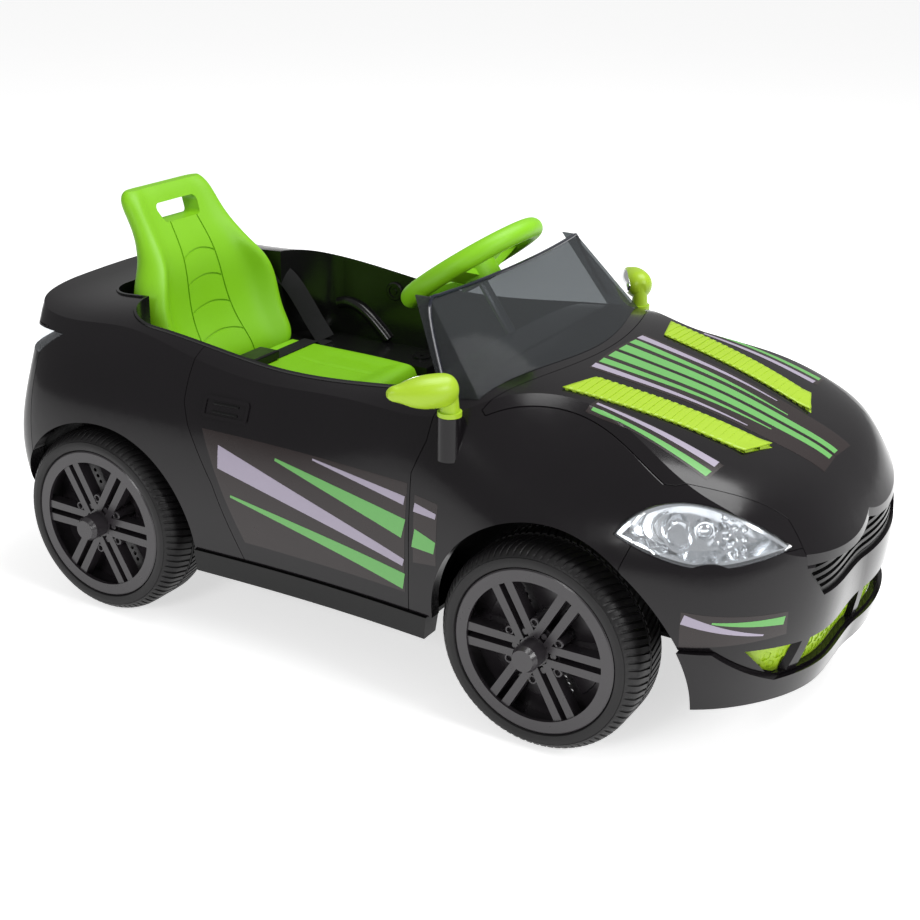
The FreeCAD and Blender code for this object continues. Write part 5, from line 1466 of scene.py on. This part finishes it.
@dataclass
class LapBelt:
    """Woven lap belt over the seat base, with its loose end up the left wall."""

    rear: float = -317.0
    rear_gap: float = 1.0
    width: float = 23.0
    thickness: float = 1.3
    shelf: float = 248.2
    seat_top: float = 257.2
    seat_half: float = 122.0
    end_half: float = 151.0
    middle_half: float = 40.0
    loose_width: float = 27.0
    loose_facing: Point3 = (0.6, -0.6, 0.5)
    loose_end: tuple[Point3, ...] = (
        (-388.0, 131.0, 345.0), (-368.0, 141.0, 336.0), (-354.0, 147.0, 320.0), (-340.0, 152.0, 296.0),
        (-326.0, 154.0, 274.0), (-313.0, 153.0, 259.0), (-305.0, 151.0, 251.0),
    )
    # Share of the width from the middle and share of the thickness, round the band.
    section: tuple[Point2, ...] = (
        (-0.5, 0.2), (-0.47, 0.0), (0.47, 0.0), (0.5, 0.2), (0.5, 0.8), (0.47, 1.0), (-0.47, 1.0), (-0.5, 0.8)
    )

    def band(self, name: str, path: Sequence[Vector], across: Sequence[Vector], width: float) -> Piece:
        """Flat band along a path.

        Args:
            name: Name of the piece.
            path: Points under the middle of the band.
            across: Unit direction of the width at each point.
            width: Width of the band.

        Returns:
            The band.
        """
        points: list[Vector] = []
        for index, place in enumerate(path):
            wide = across[index]
            up = heading(path, index).cross(wide).normalized()
            for out, rise in self.section:
                points.append(place + wide * (width * out) + up * (self.thickness * rise))
        faces = bar_faces(len(path), len(self.section))
        return mesh_piece(name, points, faces, Finish.WEBBING, sharp=50.0)

    def lap(self) -> Piece:
        """Band from the shelf up over the seat base and down to the shelf again.

        Returns:
            The band.
        """
        middle = self.rear + self.width / 2 + self.rear_gap
        edge = self.seat_half
        top = self.seat_top
        # Along the shelf, up round the seat's rolled edge and over its top.
        half = [
            (self.end_half, self.shelf), (edge + 8.0, self.shelf), (edge + 2.0, self.shelf + 2.5),
            (edge - 5.0, top - 2.0), (edge - 12.0, top), (self.middle_half, top),
        ]
        corners = [Vector((middle, y, z)) for y, z in half]
        corners += [Vector((middle, -y, z)) for y, z in reversed(half)]
        path = smooth_path(corners, 6)
        lap = self.band("lap_belt", path, [-BACKWARDS] * len(path), self.width)
        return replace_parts(lap, "seat_belt")

    def loose(self) -> Piece:
        """Loose end beside the seat back, from the wall down to the shelf.

        Returns:
            The band.
        """
        path = smooth_path([Vector(spot) for spot in self.loose_end])
        facing = Vector(self.loose_facing)
        across = [heading(path, index).cross(facing).normalized() for index in range(len(path))]
        strap = self.band("belt_loose_end", path, across, self.loose_width)
        return strap

    def build(self) -> list[Piece]:
        """Make the lap band and the loose end."""
        return [self.lap(), self.loose()]


@dataclass
class CadDressing:
    """Finish on every CAD node, taken from the record's material slots."""

    green_node: str = "steering_pad"

    def build(self) -> list[Piece]:
        """Dress all CAD nodes.

        Returns:
            The nodes.
        """
        slots = {part["node"]: part["material_slot"] for part in frame["record"]["subparts"]}
        for name, piece in frame["nodes"].items():
            dress(piece, Finish.SEAT if name == self.green_node else SLOT_FINISH[slots[name]])
        return list(frame["nodes"].values())


@dataclass
class PhotoCamera:
    """Camera placed where the photograph was taken from."""

    azimuth: float = 30.07
    elevation: float = 19.75
    roll: float = 0.95
    distance: float = 1874.6
    focal: float = 1547.3
    centre: Point2 = (468.8, 399.9)
    target: Point3 = (15.0, 0.0, 268.0)
    picture: int = 920
    sensor: float = 36.0

    def build(self) -> list[Piece]:
        """Set up the scene camera.

        Returns:
            The camera object.
        """
        data = bpy.data.cameras.new("photo_camera")
        data.sensor_width = self.sensor
        data.lens = self.focal * self.sensor / self.picture
        half = self.picture / 2
        data.shift_x = (half - self.centre[0]) / self.picture
        data.shift_y = (self.centre[1] - half) / self.picture
        data.dof.use_dof = False
        turn, rise, roll = (math.radians(angle) for angle in (self.azimuth, self.elevation, self.roll))
        back = Vector((math.sin(turn) * math.cos(rise), -math.cos(turn) * math.cos(rise), math.sin(rise)))
        level = Vector((math.cos(turn), math.sin(turn), 0.0))
        upright = back.cross(level)
        right = level * math.cos(roll) + upright * math.sin(roll)
        up = upright * math.cos(roll) - level * math.sin(roll)
        eye = (Vector(self.target) + back * self.distance) * MM
        camera = bpy.data.objects.new("photo_camera", data)
        camera.matrix_world = Matrix.Translation(eye) @ Matrix((right, up, back)).transposed().to_4x4()
        bpy.context.scene.collection.objects.link(camera)
        bpy.context.scene.camera = camera
        return [camera]


@dataclass(frozen=True)
class SoftBox:
    """Square area light, with its places in metres."""

    name: str
    place: Point3
    aim: Point3
    width: float
    watts: float

    def hang(self) -> Piece:
        """Hang the light and turn it to what it faces.

        Returns:
            The light object.
        """
        data = bpy.data.lights.new(self.name, "AREA")
        data.size = self.width
        data.energy = self.watts
        lamp = bpy.data.objects.new(self.name, data)
        lamp.location = self.place
        lamp.rotation_euler = (Vector(self.aim) - Vector(self.place)).to_track_quat("-Z", "Y").to_euler()
        bpy.context.scene.collection.objects.link(lamp)
        return lamp


@dataclass
class Studio:
    """Pale floor, soft boxes and an even sky."""

    floor_half: float = 30.0
    floor_colour: Colour = (0.86, 0.86, 0.86)
    floor_glow: float = 0.62
    white: Colour = (1.0, 1.0, 1.0)
    sky: float = 0.36
    boxes: tuple[SoftBox, ...] = (
        SoftBox("overhead", (0.7, 0.5, 2.5), (0.15, 0.0, 0.2), 1.8, 66.0),
        SoftBox("front", (2.6, -0.4, 1.6), (0.1, 0.0, 0.25), 1.0, 30.0),
        SoftBox("side", (0.2, -3.0, 1.6), (0.0, 0.0, 0.25), 0.8, 22.0),
    )

    def floor(self) -> Piece:
        """Make the floor.

        Returns:
            The floor object.
        """
        half = self.floor_half
        corners = [(-half, -half, 0.0), (half, -half, 0.0), (half, half, 0.0), (-half, half, 0.0)]
        mesh = bpy.data.meshes.new("floor")
        mesh.from_pydata(corners, [], [(0, 1, 2, 3)])
        graph = NodeGraph("floor_pale")
        graph.surface(
            Base_Color=graph.mottled(self.floor_colour, scale=3.0, low=0.985, high=1.0),
            Roughness=0.9,
            Specular_IOR_Level=0.1,
            Emission_Color=self.white,
            Emission_Strength=self.floor_glow,
        )
        mesh.materials.append(graph.material)
        floor = bpy.data.objects.new("floor", mesh)
        bpy.context.scene.collection.objects.link(floor)
        return floor

    def build(self) -> list[Piece]:
        """Make the floor, the lights and the sky.

        Returns:
            The floor and the lights.
        """
        scene = bpy.context.scene
        scene.view_settings.view_transform = "Standard"
        scene.world = bpy.data.worlds.new("studio")
        scene.world.use_nodes = True
        background = scene.world.node_tree.nodes["Background"]
        background.inputs["Color"].default_value = (*self.white, 1.0)
        background.inputs["Strength"].default_value = self.sky
        return [self.floor(), *(box.hang() for box in self.boxes)]


def main() -> None:
    """Build every assembly in order and report its pieces."""
    logging.basicConfig(level=logging.INFO, format="%(message)s")
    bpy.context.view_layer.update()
    assemblies: list[Assembly] = [CadDressing(), *(WheelTrim(wheel) for wheel in Wheel), Graphics()]
    for side in Side:
        assemblies += [Headlight(side), MirrorGlass(side), DoorHandle(side), ArmRest(side)]
    assemblies += [VentPlate(side) for side in Side]
    assemblies += [MeshBacking(), ScreenRim(), SeatCushion(), LapBelt(), Studio(), PhotoCamera()]
    for assembly in assemblies:
        for piece in assembly.build():
            LOG.info("%s: %s", type(assembly).__name__, piece.name)


if __name__ == "__main__":
    main()
